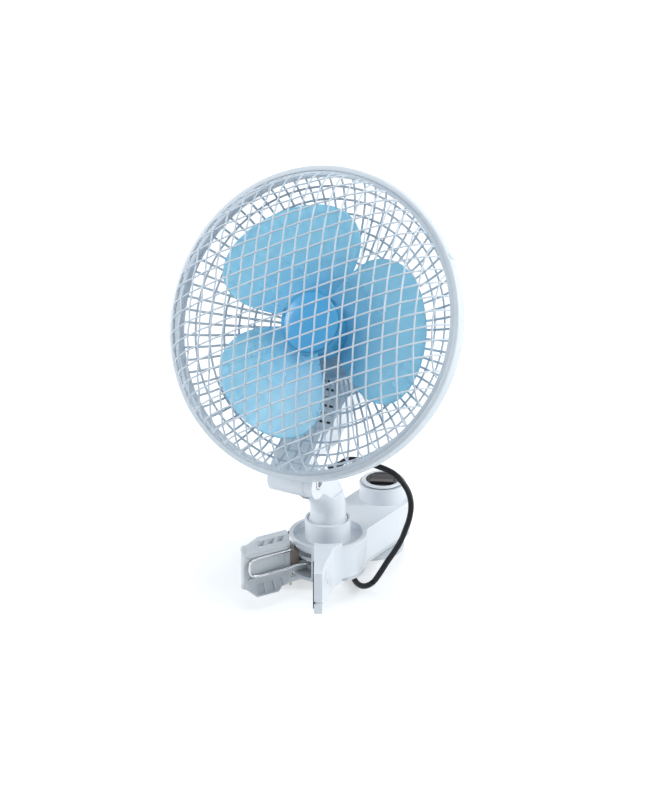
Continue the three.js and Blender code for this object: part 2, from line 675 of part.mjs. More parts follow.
function statorCore() {
  const z1 = STACK_FRONT;
  const z0 = STACK_FRONT - STACK_THICK;
  const core = block(-22, 22, -20, 20, z0, z1).intersect(drum(CAN_R - WALL - 1.4, z0 - 1, z1 + 1, 40));
  return cut(
    core,
    drum(14, z0 - 1, z1 + 1, 32),
    block(-17, 17, -19.9, -15.6, z0 - 1, z1 + 1),
    block(-15, 15, 15.6, 19, z0 - 1, z1 + 1),
  );
}
function statorCoil(side) {
  // One winding over the upper limb, one over the lower.
  const [y0, y1] = side > 0 ? [20 + GAP, 25 + GAP] : [-25 - GAP, -20 - GAP];
  return block(-11, 11, y0, y1, STACK_FRONT - STACK_THICK - 2, STACK_FRONT + 4);
}
function rearGrilleProfile(r) {
  const t = Math.min(1, Math.max(0, r / MESH_R));
  return -DOME_BASE - (-PLATE_Z - 4) * Math.pow(1 - Math.pow(t, 3), 0.75) * 1.03;
}

// ---- wire lattices ----
// Each crossing has four corners on the outer face and one point behind; each bar joins two crossings.
function latticeSolid(nodes) {
  const points = [];
  const put = (v) => points.push(v.x, v.y, v.z);
  const tri = (a, b, c) => {
    put(a);
    put(b);
    put(c);
  };
  const quad = (a, b, c, d) => {
    tri(a, b, c);
    tri(a, c, d);
  };
  // The corners of a crossing as seen along each of its four ways: left, right and back.
  const side = (n, way) => {
    const pick = { e: [n.se, n.ne], n: [n.ne, n.nw], w: [n.nw, n.sw], s: [n.sw, n.se] }[way];
    return { left: pick[0], right: pick[1], back: n.back };
  };
  const facing = { e: "w", n: "s", w: "e", s: "n" };
  const linkName = { e: "east", n: "north", w: "west", s: "south" };
  for (const node of nodes) {
    quad(node.sw, node.se, node.ne, node.nw);
    for (const way of ["e", "n", "w", "s"]) {
      const here = side(node, way);
      const link = node[linkName[way]];
      if (link && link.sections) {
        // A loose end: through its sections to a closed tip.
        let from = here;
        for (const to of link.sections) {
          quad(from.left, to.left, to.right, from.right);
          quad(from.left, from.back, to.back, to.left);
          quad(from.back, from.right, to.right, to.back);
          from = to;
        }
        tri(from.left, from.back, from.right);
      } else if (link) {
        if (way === "e" || way === "n") {
          const there = side(link, facing[way]);
          quad(here.left, there.right, there.left, here.right);
          quad(here.left, here.back, there.back, there.right);
          quad(here.back, here.right, there.left, there.back);
        }
      } else {
        tri(here.left, here.back, here.right);
      }
    }
  }
  const g = new THREE.BufferGeometry();
  g.setAttribute("position", new THREE.BufferAttribute(new Float32Array(points), 3));
  return solid(g);
}

// Height of the front dome over the rim plane.
function dome(r) {
  const t = Math.min(0.99995, r / MESH_R);
  return DOME_BASE + DOME_RISE * Math.pow(1 - Math.pow(t, 3.5), 1 / 2.2);
}
const onDome = (x, y) => at(x, y, dome(Math.hypot(x, y)));
function domeNormal(x, y) {
  const e = 0.05;
  const r = Math.hypot(x, y);
  const slope = (dome(r + e) - dome(Math.max(0, r - e))) / (2 * e);
  const limit = Math.max(slope, -2.2);
  if (r < 1e-6) return at(0, 0, 1);
  return at((-limit * x) / r, (-limit * y) / r, 1).normalize();
}

function frontLattice() {
  const a = at(Math.cos(WIRE_A.angle), Math.sin(WIRE_A.angle), 0).multiplyScalar(WIRE_A.pitch);
  const b = at(Math.cos(WIRE_B.angle), Math.sin(WIRE_B.angle), 0).multiplyScalar(WIRE_B.pitch);
  const ua = a.clone().normalize();
  const ub = b.clone().normalize();
  const minusA = ua.clone().negate();
  const minusB = ub.clone().negate();
  const origin = LATTICE_ORIGIN;
  const grid = new Map();
  const key = (i, j) => i + "," + j;
  const place = (i, j) => at(origin.x + i * a.x + j * b.x, origin.y + i * a.y + j * b.y, 0);
  const FULL_R = 87.6;
  const span = 16;
  for (let i = -span; i <= span; i++) {
    for (let j = -span; j <= span; j++) {
      const c = place(i, j);
      if (Math.hypot(c.x, c.y) > FULL_R) continue;
      const corner = (sa, sb) => {
        const dx = WIRE_HALF * (sa * ua.x + sb * ub.x);
        const dy = WIRE_HALF * (sa * ua.y + sb * ub.y);
        return onDome(c.x + dx, c.y + dy);
      };
      const back = onDome(c.x, c.y).addScaledVector(domeNormal(c.x, c.y), -WIRE_DEPTH);
      const corners = { ne: corner(1, 1), nw: corner(-1, 1), sw: corner(-1, -1), se: corner(1, -1) };
      grid.set(key(i, j), { i, j, c, back, ...corners });
    }
  }
  // A loose end runs on along its wire until it lies in the border ring.
  const stub = (node, way, acrossLeft) => {
    const p = node.c;
    const pw = p.x * way.x + p.y * way.y;
    const reach = (r) => -pw + Math.sqrt(pw * pw - (p.x * p.x + p.y * p.y) + r * r);
    const sections = [];
    const section = (r, z) => {
      const t = reach(r);
      const x = p.x + way.x * t;
      const y = p.y + way.y * t;
      const inward = at(-x, -y, 0).normalize();
      const left = at(x + acrossLeft.x * WIRE_HALF, y + acrossLeft.y * WIRE_HALF, z);
      const right = at(x - acrossLeft.x * WIRE_HALF, y - acrossLeft.y * WIRE_HALF, z);
      const back = at(x, y, z).addScaledVector(inward, WIRE_DEPTH * 0.8);
      back.z -= 0.6;
      return { left, right, back };
    };
    const r0 = Math.hypot(p.x, p.y);
    if (r0 < 82) sections.push(section(87.6, dome(87.6)));
    sections.push(section(90.2, 3));
    return { sections };
  };
  const nodes = [...grid.values()];
  for (const n of nodes) {
    n.east = grid.get(key(n.i + 1, n.j)) || stub(n, ua, minusB);
    n.west = grid.get(key(n.i - 1, n.j)) || stub(n, minusA, ub);
    n.north = grid.get(key(n.i, n.j + 1)) || stub(n, ub, ua);
    n.south = grid.get(key(n.i, n.j - 1)) || stub(n, minusB, minusA);
  }
  return latticeSolid(nodes);
}
// Where one crossing lies, from the shaft axis.
const LATTICE_ORIGIN = at(-9.2, -1.6, 0);

function borderRing(z0, z1) {
  return ring(BORDER_IN, BORDER_OUT, z0, z1, 48);
}
function frontGrille() {
  return join(frontLattice(), borderRing(0.2, 4.2));
}

function rearLattice() {
  const radii = [50, 70];
  const step = (2 * Math.PI) / SPOKES;
  const half = 0.62;
  const levels = radii.map(() => []);
  const point = (r, t, z) => at(r * Math.cos(t), r * Math.sin(t), z);
  const build = (r, k) => {
    const t = step * k;
    const z = rearGrilleProfile(r);
    const turn = half / r;
    const corner = (dr, dt) => point(r + dr * half, t + dt * turn, rearGrilleProfile(r + dr * half));
    const back = point(r, t, z + 1.5);
    return { ne: corner(1, 1), nw: corner(-1, 1), sw: corner(-1, -1), se: corner(1, -1), back };
  };
  for (let k = 0; k < SPOKES; k++) {
    radii.forEach((r, level) => levels[level].push(build(r, k)));
  }
  const section = (r, k, z) => {
    const t = step * k;
    const turn = half / r;
    return { minus: point(r, t - turn, z), plus: point(r, t + turn, z), back: point(r, t, z + 1.5) };
  };
  const outward = (r, k, z) => {
    const s = section(r, k, z);
    return { left: s.minus, right: s.plus, back: s.back };
  };
  const inward = (r, k, z) => {
    const s = section(r, k, z);
    return { left: s.plus, right: s.minus, back: s.back };
  };
  const nodes = [];
  for (let k = 0; k < SPOKES; k++) {
    const last = radii.length - 1;
    for (let level = 0; level <= last; level++) {
      const n = levels[level][k];
      // East runs outward, north runs round.
      n.north = levels[level][(k + 1) % SPOKES];
      n.south = levels[level][(k + SPOKES - 1) % SPOKES];
      if (level < last) n.east = levels[level + 1][k];
      else n.east = { sections: [outward(82, k, rearGrilleProfile(82)), outward(90.3, k, -2.6)] };
      if (level > 0) n.west = levels[level - 1][k];
      else n.west = { sections: [inward(PLATE_R - 1.2, k, PLATE_Z + 0.6)] };
      nodes.push(n);
    }
  }
  return latticeSolid(nodes);
}
function rearGrille() {
  const lattice = rearLattice();
  const under = PLATE_Z - 0.2;
  const rim = PLATE_Z + 2.2;
  const plate = cut(
    turned(
      [[9.4, under], [PLATE_R, under], [PLATE_R, rim], [PLATE_R - 2, rim], [9.4, rim - 0.4], [9.4, under]],
      24,
    ),
    drum(1.4, -40, 0, 12, 20, 0),
    drum(1.4, -40, 0, 12, -20, 0),
  );
  return join(lattice, plate, borderRing(-4.2, -0.2));
}
function grilleNut() {
  let nut = ring(9.6, 15, PLATE_Z + 1.8 + 2 * GAP, PLATE_Z + 5.6, 24);
  for (let i = 0; i < 8; i++) {
    const t = (45 * i * Math.PI) / 180;
    nut = cut(nut, drum(1.4, -40, 0, 8, 15.4 * Math.cos(t), 15.4 * Math.sin(t)));
  }
  return nut;
}
function guardHoop() {
  const z = HOOP_HALF;
  const inner = BORDER_OUT + GAP;
  const lip = inner - 1.4;
  return turned(
    [
      [inner, 1.5 - z], [lip, 1.5 - z], [lip, -z], [HOOP_R - 1, -z], [HOOP_R, 2 - z],
      [HOOP_R, z - 2], [HOOP_R - 1, z], [lip, z], [lip, z - 1.5], [inner, z - 1.5], [inner, 1.5 - z],
    ],
    48,
  );
}

// ---- rotor ----
function blade(k) {
  const centre = (127 + 120 * k) * deg;
  const g = new THREE.BoxGeometry(1, 2, 1, 5, 10, 1);
  const pos = g.getAttribute("position");
  for (let i = 0; i < pos.count; i++) {
    const u = pos.getX(i) + 0.5;
    const v = pos.getY(i);
    const w = pos.getZ(i);
    const edge = BLADE_TIP_R - 20 * Math.pow(Math.abs(v), 4.5) - (v > 0 ? 2 * v : 0);
    const r = HUB_R - 1.6 + u * (edge - HUB_R + 1.6);
    const spread = BLADE_HALF * (1 - 0.1 * Math.pow(u, 3));
    const t = centre + v * spread;
    const pitch = BLADE_PITCH * (1 - 0.15 * u);
    const lift = -1.6 + pitch * v + 1.6 * Math.cos(v * Math.PI * 0.5) * u;
    pos.setXYZ(i, r * Math.cos(t), r * Math.sin(t), lift + w * BLADE_THICK);
  }
  return solid(g);
}
function impeller() {
  const boreR = SHAFT_R + GAP;
  const shell = turned(
    [
      [boreR, HUB_FRONT - 2.4], [HUB_R - 1.8, HUB_FRONT - 2.4], [HUB_R - 1.8, HUB_BACK], [HUB_R, HUB_BACK],
      [HUB_R, HUB_FRONT - 1.8], [HUB_R - 1.2, HUB_FRONT - 0.8],
      [boreR, HUB_FRONT - 0.8], [boreR, HUB_FRONT - 2.4],
    ],
    32,
  );
  const sleeve = ring(boreR, 5, HUB_BACK + 1, HUB_FRONT - 1, 16);
  const ribs = [];
  for (let i = 0; i < 3; i++) {
    const rib = new THREE.BoxGeometry(HUB_R - 5.5, 1.2, 10);
    rib.translate((HUB_R + 3.5) / 2, 0, HUB_FRONT - 6);
    rib.rotateZ((i * 2 * Math.PI) / 3);
    ribs.push(solid(rib));
  }
  const bare = join(blade(0), blade(1), blade(2));
  const clear = cut(bare, drum(HUB_R - 1, -30, 30, 32));
  return join(shell, sleeve, ...ribs, clear);
}
function hubCap() {
  const z = HUB_FRONT - 0.8 + GAP;
  const r = HUB_R - 2.4;
  return turned([[0, z], [r, z], [r, z + 1.2], [r - 1.6, z + 2], [9, z + 2.7], [0, z + 2.9]], 32);
}
function bearing(z0) {
  return ring(SHAFT_R + GAP, 4.2, z0, z0 + 3.6, 24);
}

// ---- cord ----
const CORD_PATH = [
  GLAND.clone().addScaledVector(GLAND_WAY, 1.5), GLAND.clone().addScaledVector(GLAND_WAY, 5),
  GLAND.clone().addScaledVector(GLAND_WAY, 9), at(15, 12.6, 43), at(21, 10, 43), at(29, 6, 42),
  at(35.2, 4, 40.5),
  at(40.7, 2, 38), at(45.8, -0.3, 33), at(49.3, -2, 27), at(50.6, -4.5, 20.4), at(49.7, -7, 13),
  at(47.3, -9.3, 6.3), at(44.6, -11.4, 0), at(40.7, -12.2, -7), at(36, -11.5, -15), at(31.8, -10.3, -23),
  at(27.8, -7.6, -30.4), at(23, -3, -35.6), at(18.8, 4, -38), at(15.8, 14, -38.2), at(16.8, 26, -38.2),
  at(21, 38, -38.2), at(24.4, 48, -38.2), at(25.5, 57, -38.2),
];
// The short run from the coil's far side to the plug.
const LEAD_X = COIL.x - COIL_OUT - CORD_R - GAP;
const PLUG_Y = 45;
const PLUG_LONG = 26;
const PLUG_WIDE = 17;
const PLUG_TALL = 11.4;
function cordLead() {
  const z = FLOOR + CORD_R;
  const middle = (COIL.y + PLUG_Y) / 2;
  return rod([at(LEAD_X, COIL.y, z), at(LEAD_X, middle, z), at(LEAD_X, PLUG_Y + GAP, z)], CORD_R, 8, 3);
}
function plugBody() {
  const half = PLUG_WIDE / 2;
  const y0 = PLUG_Y - PLUG_LONG;
  const shape = outline(
    [LEAD_X - 3.2, PLUG_Y], [LEAD_X - 3.8, PLUG_Y - 7], [LEAD_X - half, PLUG_Y - 11], [LEAD_X - half, y0],
    [LEAD_X + half, y0], [LEAD_X + half, PLUG_Y - 11], [LEAD_X + 3.8, PLUG_Y - 7], [LEAD_X + 3.2, PLUG_Y],
  );
  let body = slab(shape, FLOOR, FLOOR + PLUG_TALL);
  for (const side of [-1, 1]) {
    const x = LEAD_X + side * 6.35;
    const z = FLOOR + PLUG_TALL / 2;
    body = cut(body, block(x - 0.8 - GAP, x + 0.8 + GAP, y0 - 1, y0 + 5, z - 3.2 - GAP, z + 3.2 + GAP));
  }
  return body;
}
function plugBlade(side) {
  const x = LEAD_X + side * 6.35;
  const z = FLOOR + PLUG_TALL / 2;
  const y = PLUG_Y - PLUG_LONG;
  const blank = block(x - 0.75, x + 0.75, y - 17, y + 4.7, z - 3.15, z + 3.15);
  return cut(blank, placed(crossDrum(1.5), new THREE.Matrix4().makeTranslation(x, y - 12, z)));
}
function crossDrum(r) {
  const g = new THREE.CylinderGeometry(r, r, 4, 12);
  g.rotateZ(Math.PI / 2);
  return solid(g);
}
function cordCoil() {
  const g = turned(
    [
      [COIL_IN, 1.2], [COIL_IN + 1.2, 0], [COIL_OUT - 1.2, 0], [COIL_OUT, 1.2],
      [COIL_OUT, COIL_TALL - 1.2], [COIL_OUT - 1.2, COIL_TALL],
      [COIL_IN + 1.2, COIL_TALL], [COIL_IN, COIL_TALL - 1.2], [COIL_IN, 1.2],
    ],
    28,
  );
  return placed(g, new THREE.Matrix4().makeTranslation(COIL.x, COIL.y, FLOOR));
}

// ---- assembly ----
const clip = new THREE.Group();
clip.position.copy(GRIP_FACE).negate();
clip.add(meshOf("base_body", clipBody(), whitePlastic));
clip.add(meshOf("base_cover", clipCover(), greyPlastic));
clip.add(meshOf("cover_screw_left", coverScrew(SCREWS[0]), steel));
clip.add(meshOf("cover_screw_right", coverScrew(SCREWS[1]), steel));
clip.add(meshOf("fixed_jaw_pad", fixedPad(), rubber));
clip.add(meshOf("moving_jaw", movingJaw(), greyPlastic));
clip.add(meshOf("jaw_pin", jawPin(), steel));
clip.add(meshOf("jaw_spring", jawSpring(), steel));
clip.add(meshOf("switch_bezel", switchBezel(), blackPlastic));
clip.add(meshOf("switch_rocker", switchRocker(), blackPlastic));
clip.add(meshOf("neck", neck(), whitePlastic));
clip.add(meshOf("neck_retainer", neckRetainer(), steel));
clip.add(meshOf("tilt_bolt", tiltBolt(), steel));
clip.add(meshOf("tilt_nut", tiltNut(), steel));
const gland = cut(glandDrum(2.6, -5.5, 3.4, 20, 2.4), glandDrum(CORD_R + 1.4 * GAP, 1, 10, 12));
clip.add(meshOf("cord_gland", gland, rubber));
clip.add(meshOf("cord_tube", rod(CORD_PATH, CORD_R, 8, 44), rubber));
clip.add(meshOf("cord_coil", cordCoil(), rubber));
clip.add(meshOf("cord_lead", cordLead(), rubber));
clip.add(meshOf("plug_body", plugBody(), blackPlastic));
clip.add(meshOf("plug_blade_left", plugBlade(-1), brass));
clip.add(meshOf("plug_blade_right", plugBlade(1), brass));

const head = new THREE.Group();
head.applyMatrix4(headMatrix);
head.add(meshOf("motor_housing", motorHousing(), whitePlastic));
head.add(meshOf("motor_rear_cover", motorCover(), whitePlastic));
head.add(meshOf("stator_core", statorCore(), laminate));
head.add(meshOf("stator_coil_upper", statorCoil(1), copper));
head.add(meshOf("stator_coil_lower", statorCoil(-1), copper));
const rotorStack = drum(13.2, STACK_FRONT - STACK_THICK, STACK_FRONT, 32);
head.add(meshOf("rotor_core", cut(rotorStack, drum(SHAFT_R + GAP, -60, -30, 20)), laminate));
head.add(meshOf("motor_shaft", drum(SHAFT_R, -68, HUB_FRONT - 1, 20), steel));
head.add(meshOf("front_bearing", bearing(CAN_FRONT - 6.3), brass));
head.add(meshOf("rear_bearing", bearing(CAN_BACK - GAP - 9.6), brass));
head.add(meshOf("rear_grille", rearGrille(), whitePlastic));
head.add(meshOf("grille_nut", grilleNut(), whitePlastic));
head.add(meshOf("guard_hoop", guardHoop(), whitePlastic));
head.add(meshOf("front_grille", frontGrille(), whitePlastic));
head.add(meshOf("impeller", impeller(), bluePlastic));
head.add(meshOf("hub_cap", hubCap(), deepBlue));
clip.add(head);

const part = new THREE.Group();
part.add(clip);
export default part;
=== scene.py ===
"""Looks of the clip fan, in metres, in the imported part's frame.

Its measures are millimetres in the fan's own drawing frame, whose origin is where the neck's axis meets the
top of the clip body, or in the head's frame, whose origin is on the fan's shaft. to_part and head_to_part
move them into place.
"""

import math

import bmesh
import bpy
import numpy as np
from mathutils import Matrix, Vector


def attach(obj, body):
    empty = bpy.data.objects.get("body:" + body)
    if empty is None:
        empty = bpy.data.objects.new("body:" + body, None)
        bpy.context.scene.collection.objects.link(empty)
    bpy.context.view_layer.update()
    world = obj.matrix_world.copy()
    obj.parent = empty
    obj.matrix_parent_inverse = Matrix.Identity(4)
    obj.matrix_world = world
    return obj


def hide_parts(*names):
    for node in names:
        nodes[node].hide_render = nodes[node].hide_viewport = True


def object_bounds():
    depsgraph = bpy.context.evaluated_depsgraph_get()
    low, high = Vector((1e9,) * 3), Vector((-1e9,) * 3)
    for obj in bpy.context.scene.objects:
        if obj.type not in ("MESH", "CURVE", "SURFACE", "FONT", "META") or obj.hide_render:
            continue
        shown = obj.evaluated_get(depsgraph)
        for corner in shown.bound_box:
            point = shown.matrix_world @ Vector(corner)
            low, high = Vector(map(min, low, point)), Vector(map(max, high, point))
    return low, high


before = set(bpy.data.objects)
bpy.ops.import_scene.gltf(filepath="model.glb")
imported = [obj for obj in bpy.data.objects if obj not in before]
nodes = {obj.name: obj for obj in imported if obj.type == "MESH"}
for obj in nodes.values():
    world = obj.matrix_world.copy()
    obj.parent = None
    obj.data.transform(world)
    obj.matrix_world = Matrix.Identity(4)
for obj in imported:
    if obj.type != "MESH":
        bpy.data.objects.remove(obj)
bpy.context.scene.view_settings.view_transform = "Standard"
cad_low, cad_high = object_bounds()

# ---- measures that the part's source also holds, millimetres and radians ----
MM = 0.001
GAP = 0.3
GRIP_FACE = np.array([-9.0, -50.0, -10.0])
PIN = np.array([-9.0, -5.3, 0.0])
JAW_WAY = math.radians(210.6)
BARREL = np.array([33.7, 49.9, 0.0])
BARREL_TOP = 10.3
NECK_YAW = math.radians(27.8)
NECK_TILT = math.radians(28.8)
HINGE_REACH, HINGE_Z = 28.8, 47.5
HEAD_UP, HEAD_OUT = 92.4, 35.7
HOOP_R = 95.0
MESH_R = 90.6
BORDER_IN, BORDER_OUT = 88.8, 92.0
DOME_BASE, DOME_RISE = 4.0, 34.0
WIRE_A = (9.15, math.radians(29.4))  # from one upright wire to the next: how far, and which way
WIRE_B = (8.83, math.radians(99.2))  # from one level wire to the next
LATTICE_ORIGIN = (-9.2, -1.6)
PLATE_R, PLATE_Z = 31.0, -28.3
HUB_R, HUB_FRONT, HUB_BACK = 20.35, 7.0, -13.0
BLADE_TIP_R, BLADE_THICK = 73.0, 1.6
CORD_R = 1.8
FLOOR = -40.0
COIL = (-2.0, 56.0)
COIL_OUT = 25.2
PLUG_Y = 45.0
LEAD_X = COIL[0] - COIL_OUT - CORD_R - GAP

# ---- measures of what is drawn finer here than in the part's source, millimetres and radians ----
WIRE_R = 0.56
WIRE_REACH = 90.4
WEAVE = 0.34  # a wire's lift over the one it crosses
REAR_SPOKES, SPOKE_R, SPOKE_REACH = 72, 0.74, 90.2
REAR_RINGS, REAR_RING_R = (42.0, 52.0, 61.0, 69.5, 77.5, 84.5), 0.7
REAR_LIFT = 0.75  # the spokes' and rings' middles over the rear surface
PLATE_HOLE_R = 9.4
HOOP_SHOWN_HALF, HOOP_WALL, HOOP_LIP = 4.8, 1.6, 0.8
HOOP_TABS = (math.radians(36), math.radians(196))
BLADE_HALF = math.radians(54)
BLADE_CENTRE = math.radians(125.5)
BLADE_PITCH = 10.0
BLADE_SINK, BLADE_FLICK, BLADE_BELLY = 1.6, 5.0, 1.6
BLADE_CORNER, BLADE_SLANT = 18.0, 2.0
SHAFT_HOLE_R = 2.3
CAP_RISE = 2.9
VENT_FIRST, VENT_PITCH = -55.7, 4.9
VENT_LEFT, VENT_RIGHT, VENT_HALF, VENT_DEEP = -7.4, 6.4, 0.68, 2.3
VENT_FRONTS = (-37.93,) * 5 + (-31.9, -29.3)
SWITCH_SHOWN_R = 10.3
SURROUND_R, SURROUND_TALL = 12.75, 1.5
RIBS, RIB_PITCH, RIB_R, RIB_TAPER = 4, 1.7, 3.1, 0.24

LEVEL = np.array([-math.sin(NECK_YAW), -math.cos(NECK_YAW), 0.0])
HINGE_WAY = np.array([math.cos(NECK_YAW), -math.sin(NECK_YAW), 0.0])
FACE_WAY = LEVEL * math.cos(NECK_TILT) + np.array([0, 0, math.sin(NECK_TILT)])
UP_WAY = np.cross(FACE_WAY, HINGE_WAY)
HEAD = LEVEL * HINGE_REACH + np.array([0, 0, HINGE_Z]) + FACE_WAY * HEAD_OUT + UP_WAY * HEAD_UP


def to_part(points):
    """Drawing frame, mm, to the part's frame, metres: the grip face's point goes to the origin."""
    return (np.asarray(points, float) - GRIP_FACE) * MM


def head_to_part(points):
    """Head frame (along the hinge, up the head, out of its front) to the part's frame in metres."""
    p = np.asarray(points, float)
    return to_part(HEAD + p[..., :1] * HINGE_WAY + p[..., 1:2] * UP_WAY + p[..., 2:3] * FACE_WAY)


def jaw_to_part(points):
    """Jaw frame (along the jaw from its pin, towards the fixed jaw, up) to the part's frame, by a turn of
    JAW_WAY about the pin."""
    p = np.asarray(points, float)
    c, s = math.cos(JAW_WAY), math.sin(JAW_WAY)
    turned = np.stack([c * p[:, 0] - s * p[:, 1], s * p[:, 0] + c * p[:, 1], p[:, 2]], -1)
    return to_part(PIN + turned)


# ---- camera: 25 degrees above level, looking along +Y ----
VIEW_TARGET = np.array([0.0130, 0.0839, 0.0827])
VIEW_WIDE = 0.4087
VIEW_FAR = 3.4
VIEW_UP = math.radians(25)
SENSOR = 36.0
camera_data = bpy.data.cameras.new("view_camera")
camera_data.sensor_fit = "HORIZONTAL"
camera_data.sensor_width = SENSOR
camera_data.lens = SENSOR * VIEW_FAR / VIEW_WIDE
camera = bpy.data.objects.new("view_camera", camera_data)
bpy.context.scene.collection.objects.link(camera)
camera.location = VIEW_TARGET + VIEW_FAR * np.array([0, -math.cos(VIEW_UP), math.sin(VIEW_UP)])
camera.rotation_euler = (math.pi / 2 - VIEW_UP, 0, 0)
bpy.context.scene.camera = camera


# ---- mesh helpers ----
def placed_piece(name, mesh, smooth_angle):
    """A mesh as an object at the origin, shaded smooth but for edges over smooth_angle degrees."""
    mesh.polygons.foreach_set("use_smooth", np.ones(len(mesh.polygons), bool))
    mesh.set_sharp_from_angle(angle=math.radians(smooth_angle))
    piece = bpy.data.objects.new(name, mesh)
    bpy.context.scene.collection.objects.link(piece)
    return piece


def new_piece(name, points, faces, smooth_angle=35):
    """A mesh object at the origin from points in the part's frame."""
    mesh = bpy.data.meshes.new(name)
    mesh.from_pydata(np.asarray(points, float).reshape(-1, 3).tolist(), [], faces)
    mesh.update()
    return placed_piece(name, mesh, smooth_angle)


def soften_edges(piece, width, **settings):
    """A narrow bevel of two steps, its width in millimetres; other settings are the modifier's own."""
    edge = piece.modifiers.new("softened_edges", "BEVEL")
    edge.width = width * MM
    edge.segments = 2
    for key, value in settings.items():
        setattr(edge, key, value)


def finish_piece(piece, body, material, replaces=()):
    """Gives a piece its material and its body, and hides the CAD nodes it stands for."""
    piece.data.materials.clear()
    piece.data.materials.append(material)
    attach(piece, body)
    if replaces:
        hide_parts(*replaces)


def joined(forms):
    """Several (points, faces) forms as one: their points in one array, their faces renumbered to match."""
    points, faces, count = [], [], 0
    for form_points, form_faces in forms:
        points.append(form_points)
        faces += [[corner + count for corner in face] for face in form_faces]
        count += len(form_points)
    return np.vstack(points), faces


def grid_faces(rows, columns, close_rows=False, close_columns=False):
    """Quads of a rows by columns grid of points, whose last row or column may join the first."""
    r = np.arange(rows if close_rows else rows - 1)
    c = np.arange(columns if close_columns else columns - 1)
    i, j = np.meshgrid(r, c, indexing="ij")
    i2, j2 = (i + 1) % rows, (j + 1) % columns
    quads = np.stack([i * columns + j, i2 * columns + j, i2 * columns + j2, i * columns + j2], -1)
    return quads.reshape(-1, 4)


def tubes(paths, normals, radius, sides=8):
    """Round tubes along W lines of n points. Each section is radius * (cos t * side + sin t * lift), with
    side the cross product of the line's direction and its normal, and lift that of side and the direction.
    Both ends are closed by a flat face, and all faces point outwards."""
    paths = np.asarray(paths, float)
    ways = np.gradient(paths, axis=1)
    ways /= np.linalg.norm(ways, axis=-1, keepdims=True)
    side = np.cross(ways, normals)
    side /= np.linalg.norm(side, axis=-1, keepdims=True)
    lift = np.cross(side, ways)
    t = np.arange(sides) * 2 * np.pi / sides
    ring = np.cos(t)[:, None] * side[..., None, :] + np.sin(t)[:, None] * lift[..., None, :]
    points = paths[..., None, :] + radius * ring
    wires, n = paths.shape[:2]
    starts = np.arange(wires)[:, None, None] * n * sides
    faces = (grid_faces(n, sides, close_columns=True)[None] + starts).reshape(-1, 4).tolist()
    caps = np.arange(sides)
    for start in starts.ravel().tolist():
        faces.append((caps + start).tolist())
        faces.append((caps[::-1] + start + (n - 1) * sides).tolist())
    return points.reshape(-1, 3), faces


def lathe(profile, steps=128):
    """A closed profile of (radius, height) turned once about the z axis: point = (r cos a, r sin a, h)."""
    p = np.asarray(profile, float)
    a = np.arange(steps) * 2 * np.pi / steps
    across, along = np.outer(np.cos(a), p[:, 0]), np.outer(np.sin(a), p[:, 0])
    points = np.stack([across, along, np.tile(p[:, 1], (steps, 1))], -1)
    return points.reshape(-1, 3), grid_faces(steps, len(p), close_rows=True, close_columns=True).tolist()


def boxes(corner_sets):
    """Closed boxes, each from eight corners: four round one face, then the four opposite them."""
    ends = [[0, 3, 2, 1], [4, 5, 6, 7]]
    walls = [[i, (i + 1) % 4, 4 + (i + 1) % 4, 4 + i] for i in range(4)]
    return joined((np.array(corners), ends + walls) for corners in corner_sets)


def rounded_profile(corners, radius, steps=4):
    """A closed outline with each corner cut back by radius and bent round: the arc is the quadratic curve
    (1-s)^2 a + 2 s (1-s) corner + s^2 b between the two cut points a and b."""
    c = np.asarray(corners, float)
    before, after = np.roll(c, 1, 0) - c, np.roll(c, -1, 0) - c
    reach_a = np.linalg.norm(before, axis=1, keepdims=True)
    reach_b = np.linalg.norm(after, axis=1, keepdims=True)
    a = c + before / reach_a * np.minimum(radius, 0.45 * reach_a)
    b = c + after / reach_b * np.minimum(radius, 0.45 * reach_b)
    s = np.linspace(0, 1, steps)[None, :, None]
    return ((1 - s) ** 2 * a[:, None] + 2 * s * (1 - s) * c[:, None] + s**2 * b[:, None]).reshape(-1, 2)


def knot_step(a, b):
    """How far the centripetal curve's parameter goes from a to b: the square root of their distance."""
    return np.sqrt(np.linalg.norm(b - a, axis=-1, keepdims=True))


def through(points, per_span=6):
    """A smooth line through the points: the centripetal Catmull-Rom curve, sampled per_span times a span."""
    p = np.asarray(points, float)
    p = np.vstack([2 * p[0] - p[1], p, 2 * p[-1] - p[-2]])
    p0, p1, p2, p3 = p[:-3, None], p[1:-2, None], p[2:-1, None], p[3:, None]
    t1 = knot_step(p0, p1)
    t2 = t1 + knot_step(p1, p2)
    t3 = t2 + knot_step(p2, p3)
    t = t1 + (t2 - t1) * np.linspace(0, 1, per_span, endpoint=False)[None, :, None]
    a1 = (t1 - t) / t1 * p0 + t / t1 * p1
    a2 = (t2 - t) / (t2 - t1) * p1 + (t - t1) / (t2 - t1) * p2
    a3 = (t3 - t) / (t3 - t2) * p2 + (t - t2) / (t3 - t2) * p3
    b1 = (t2 - t) / t2 * a1 + t / t2 * a2
    b2 = (t3 - t) / (t3 - t1) * a2 + (t - t1) / (t3 - t1) * a3
    line = (t2 - t) / (t2 - t1) * b1 + (t - t1) / (t2 - t1) * b2
    return np.vstack([line.reshape(-1, 3), p[-2]])


def eased(x):
    """0 below 0, 1 above 1, and 3x^2 - 2x^3 between."""
    x = np.clip(x, 0, 1)
    return x * x * (3 - 2 * x)


